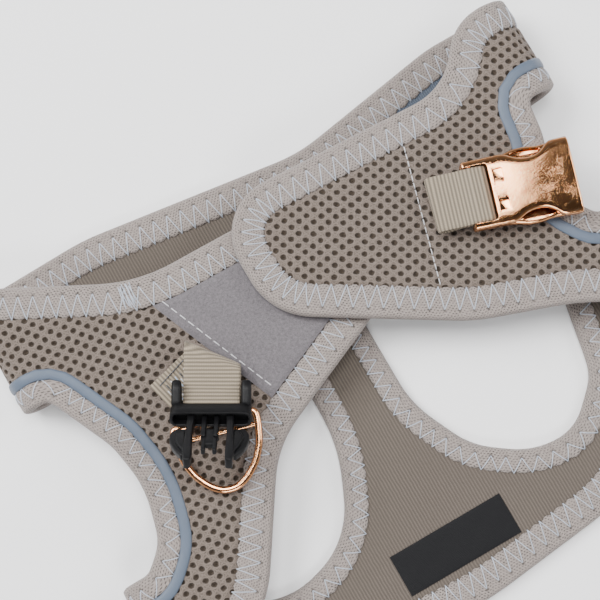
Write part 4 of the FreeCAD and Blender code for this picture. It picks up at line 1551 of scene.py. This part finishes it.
# %% [markdown]
# ## The socket
# The socket is a plated shell with a crowned back, a waist where the plug's arms show, guards below
# the waist and an open mouth. A superellipse section is carried along two halves, which are joined and
# then cut, because a loft can't have holes. A last narrow bevel gives the cut edges the soft glint
# that cast metal has.

# %% The section carried along the socket
socket = Local(hinge("female_buckle_tilt"), socket_heading)
socket_length = 36.5


def smooth_through(x, knots):
    """A smooth curve through (place, value) knots: straight steps averaged over 2.6 millimetres."""
    at, value = np.array(knots).T
    offsets = np.linspace(-1.3, 1.3, 9)
    return np.mean([np.interp(x + o, at, value) for o in offsets], axis=0)


def shell_half(name, knots, low, high, crown, drop):
    """One half of the socket: a superellipse section carried along it, as wide as the knots say, its
    back falling away towards the sides by crown and towards the mouth by drop."""
    x = np.unique(np.concatenate([np.linspace(-2.5, -1.9, 4), np.linspace(-1.9, socket_length - 0.6, 90),
                                  np.linspace(socket_length - 0.6, socket_length, 4)]))
    ends = np.minimum(x + 2.5, socket_length - x)
    trim = 0.55 * (1.0 - np.clip(ends / 0.6, 0.0, 1.0)) ** 2
    half = smooth_through(x, knots) - trim
    turn = np.linspace(0.0, 2 * math.pi, 72, endpoint=False)
    c, s = np.cos(turn), np.sin(turn)
    y = half[:, None] * np.sign(c) * np.abs(c) ** 0.16
    mid, tall = (low + high) / 2, (high - low) / 2 - trim[:, None] * 0.6
    z = mid + tall * np.sign(s) * np.abs(s) ** 0.42
    share = np.abs(y) / 14.0
    lower = crown * share ** 2.4 + drop * np.clip((x[:, None] - 12.0) / 24.0, 0.0, 1.0) ** 2
    z = z - np.where(s > 0, lower, 0.0) * np.sign(high)
    grid = np.stack([np.broadcast_to(x[:, None], y.shape), y, z], -1)
    return tube_piece(name, socket.place(grid), rose_gold, None, False, 35.0)


print("socket %.1f mm long" % socket_length)

# %% Joining, cutting and rounding
def settle(piece):
    """Works the piece's modifiers out once and keeps the result as plain mesh."""
    depsgraph = bpy.context.evaluated_depsgraph_get()
    mesh = bpy.data.meshes.new_from_object(piece.evaluated_get(depsgraph))
    piece.modifiers.clear()
    piece.data = mesh


def combined(target, others, operation):
    """The target with the others cut away or added; the other pieces are then gone."""
    for other in others:
        tool = target.modifiers.new("tool", "BOOLEAN")
        tool.operation = operation
        tool.solver = "MANIFOLD"
        tool.object = other
    settle(target)
    for other in others:
        bpy.data.objects.remove(other)


def softened(piece, width, angle=40.0):
    """Rounds the piece's sharp edges by a narrow bevel."""
    tool = piece.modifiers.new("soft", "BEVEL")
    tool.width = width * MM
    tool.segments = 3
    tool.limit_method = "ANGLE"
    tool.angle_limit = math.radians(angle)
    tool.use_clamp_overlap = True
    settle(piece)
    piece.data.shade_smooth()
    piece.data.set_sharp_from_angle(angle=math.radians(50.0))


print("cutting tools ready")

# %% The socket: joined, cut and rounded
top_knots = [(-3.0, 12.4), (11.6, 12.5), (12.6, 12.5), (17.0, 10.0), (20.0, 9.4), (24.0, 9.6), (27.0, 11.4),
             (29.0, 13.6), (31.0, 13.9), (37.0, 14.0)]
guard_knots = [(-3.0, 12.3), (10.0, 12.4), (13.0, 12.8), (17.0, 13.9), (21.0, 14.0), (26.0, 13.3),
               (29.0, 13.5), (37.0, 13.8)]
shell = shell_half("socket_shell", top_knots, 0.2, 4.2, 0.9, 0.3)
guard = shell_half("socket_guard", guard_knots, -4.0, 0.6, 0.0, 0.0)
combined(shell, [guard], "UNION")

# Strap slot, mouth, and two square recesses; then the windows, where 0.03 keeps two faces apart.
cuts = [block("cut", socket, low, high, rose_gold, bevel) for low, high, bevel in (
    ((-9.0, -10.4, -9), (6.4, 10.4, 9), 1.4),
    ((12.2, -11.6, -2.7), (42.0, 11.6, 2.5), 0.5),
    ((7.6, 4.0, 2.9), (11.4, 7.6, 9), 0.25),
    ((7.6, -7.6, 2.9), (11.4, -4.0, 9), 0.25))]
window = [(14.6, 11.9, 1.0), (17.4, 10.7, 2.0), (20.5, 9.9, 3.0), (24.0, 10.1, 3.0), (27.2, 11.9, 1.0),
          (24.6, 12.5, 2.5), (21.0, 12.9, 3.0), (17.6, 12.8, 2.5)]
cuts += [plate("cut", socket, mirrored(window, side, off), -2.6 + off, 9.0, rose_gold, 0.2)
         for side, off in ((1, 0.0), (-1, 0.03))]
combined(shell, cuts, "DIFFERENCE")
softened(shell, 0.28)
bar = cylinder("socket_bar", socket, (0, -10.9, 0), (0, 10.9, 0), 1.5, rose_gold)
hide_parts("female_buckle_shell")
for piece in (shell, bar):
    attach(piece, "female_buckle")

print("socket: %d faces" % len(shell.data.polygons))

# %% [markdown]
# ## The leash ring
# The ring is bent wire, flattened a little, and its second rail is joined to it by two short ties.
# The path is drawn with a few points and softened by a bell curve, which rounds its corners as
# bending does. A folded tab of webbing keeps the ring on the wing.

# %% The ring, its second rail and the tab that keeps it
ring_at = Local(hinge("d_ring_swing"), -106.0)
ring_wire = 1.28


def ring_tube(name, at, path, closed, flat=0.85, radius=ring_wire, round_off=2.2):
    """Plated wire along a path of (x, y): a section between round and square, a little flattened."""
    spacing = 0.4
    spots = resample(np.array(path, float), spacing, closed)[0]
    if closed:
        reach = 12
        weight = bell(reach, spacing, round_off)
        padded = np.concatenate([spots[-reach:], spots, spots[:reach]])
        spots = np.stack([np.convolve(padded[:, i], weight, "valid") for i in (0, 1)], 1)
        ahead = headings(spots)
    else:
        ahead = np.gradient(spots, axis=0)
        ahead /= np.linalg.norm(ahead, axis=1, keepdims=True)
    turn = np.linspace(0.0, 2 * math.pi, 24, endpoint=False)
    c, s = np.cos(turn), np.sin(turn)
    out = radius * np.sign(c) * np.abs(c) ** 0.8
    up = radius * flat * np.sign(s) * np.abs(s) ** 0.8
    x = spots[:, :1] + ahead[:, 1:] * out
    y = spots[:, 1:] - ahead[:, :1] * out
    grid = np.stack([x, y, np.broadcast_to(up, x.shape)], -1)
    return tube_piece(name, at.place(grid), rose_gold, None, closed, 60.0)


ring_side = [(0.0, 15.2), (5.0, 15.0), (12.0, 13.8), (18.0, 11.0), (22.8, 6.6), (25.2, 2.4)]
ring_path = [(x, -y) for x, y in ring_side][::-1] + ring_side
ring_pieces = [ring_tube("ring_wire", ring_at, ring_path, True, 0.95, ring_wire, 1.6),
               ring_tube("ring_rail", ring_at, [(5.0, -14.2), (5.0, 14.2)], False, 0.7, 0.8)]
for y in (-4.6, 4.6):
    ring_pieces.append(ring_tube("ring_tie", ring_at, [(0.3, y), (4.9, y)], False, 0.7, 0.7))
for piece in ring_pieces:
    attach(piece, "d_ring")
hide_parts("d_ring")

keeper_path = np.concatenate([[(-7.0, -2.45), (-4.0, -2.4)], arc((0.0, 0.0), 1.92, -105, 100, 18),
                              [(-3.0, 1.0), (-6.6, -1.1)]])
piece = band("keeper_band", ring_at, keeper_path, False, lambda x: 0.0 * x, 6.8, 0.62, 3.0)
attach(piece, "left_wing")
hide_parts("ring_keeper")

print("ring ready")

# %% [markdown]
# ## Running stitches
# One row of stitches shows on the loop patch and one at the end of the hook patch. Each follows a
# straight side of its patch, read from the outline, a few millimetres in.

# %% Running stitches on the patches
start, end = long_side(loop_outline, lambda m: -m[0] - m[1])
middle = loop_outline.mean(0)
along = (end - start) / np.linalg.norm(end - start)
square = np.array([-along[1], along[0]])
square *= np.sign((middle - start) @ square)
inset = square * 3.4 * MM
thread = running_stitch("loop_stitch", line_inside(start + inset, end + inset, 2 * MM), patch_box[1].z,
                        seam_thread, 3.6, 0.7)
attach(thread, "left_wing")
thread = running_stitch("flap_stitch", flap_line, 2 * right.radius - flap_groove * 0.7, seam_thread,
                        2.7, 0.6)
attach(thread, "right_wing")
print("hard parts ready")

# %% [markdown]
# ## The floor, the light and the camera
# Plated metal shows what stands round it, so the light comes from a few broad soft panels and the
# rest of the surroundings stays dim. The floor is plain and pale.

# %% Floor
ground = bpy.data.meshes.new("floor")
ground.from_pydata([(-3, -3, 0), (3, -3, 0), (3, 3, 0), (-3, 3, 0)], [], [(0, 1, 2, 3)])
floor = bpy.data.objects.new("floor", ground)
bpy.context.scene.collection.objects.link(floor)
ground.materials.append(Paint("floor", (0.95, 0.95, 0.955), 0.8, Specular_IOR_Level=0.15).material)
print("floor ready")

# %% Light
target = Vector((-0.0075, 0.0328, 0.017))


def light_panel(name, place, size, power):
    """A soft panel of light that faces the harness."""
    lamp = bpy.data.lights.new(name, "AREA")
    lamp.shape = "RECTANGLE"
    lamp.size, lamp.size_y = size
    lamp.energy = power
    panel = bpy.data.objects.new(name, lamp)
    panel.location = place
    panel.rotation_euler = (target - Vector(place)).to_track_quat("-Z", "Y").to_euler()
    bpy.context.scene.collection.objects.link(panel)


light_panel("key", (-0.62, 0.85, 1.05), (0.8, 0.8), 33.0)
light_panel("overhead", (0.10, 0.25, 1.15), (0.5, 0.5), 11.0)
light_panel("fill", (1.0, -0.2, 0.85), (0.6, 0.6), 9.0)
light_panel("front", (-0.35, -0.95, 1.0), (0.7, 0.4), 9.0)

world = bpy.data.worlds.new("surroundings")
world.use_nodes = True
bpy.context.scene.world = world
around = world.node_tree
backdrop = around.nodes["Background"]
backdrop.inputs["Color"].default_value = (0.96, 0.96, 1.0, 1.0)
facing = around.nodes.new("ShaderNodeTexCoord")
split = around.nodes.new("ShaderNodeSeparateXYZ")
dim = around.nodes.new("ShaderNodeMapRange")
around.links.new(facing.outputs["Generated"], split.inputs[0])
around.links.new(split.outputs["Z"], dim.inputs["Value"])
dim.inputs["From Min"].default_value, dim.inputs["From Max"].default_value = 0.1, 0.95
dim.inputs["To Min"].default_value, dim.inputs["To Max"].default_value = 0.60, 0.05
around.links.new(dim.outputs["Result"], backdrop.inputs["Strength"])

print("light ready")

# %% Camera
image_right = Vector((0.866, -0.5, 0.0)).normalized()
lean = math.radians(7.0)
image_up = Vector((0.5 * math.cos(lean), 0.866 * math.cos(lean), math.sin(lean))).normalized()
toward = image_right.cross(image_up)
lens, film, across = 85.0, 36.0, 0.216
lens_data = bpy.data.cameras.new("camera")
lens_data.lens, lens_data.sensor_width = lens, film
camera = bpy.data.objects.new("camera", lens_data)
turned = Matrix((image_right, image_up, toward)).transposed().to_4x4()
camera.matrix_world = Matrix.Translation(target + toward * (across * lens / film)) @ turned
bpy.context.scene.collection.objects.link(camera)
bpy.context.scene.camera = camera
print("camera %.2f m away" % (across * lens / film))
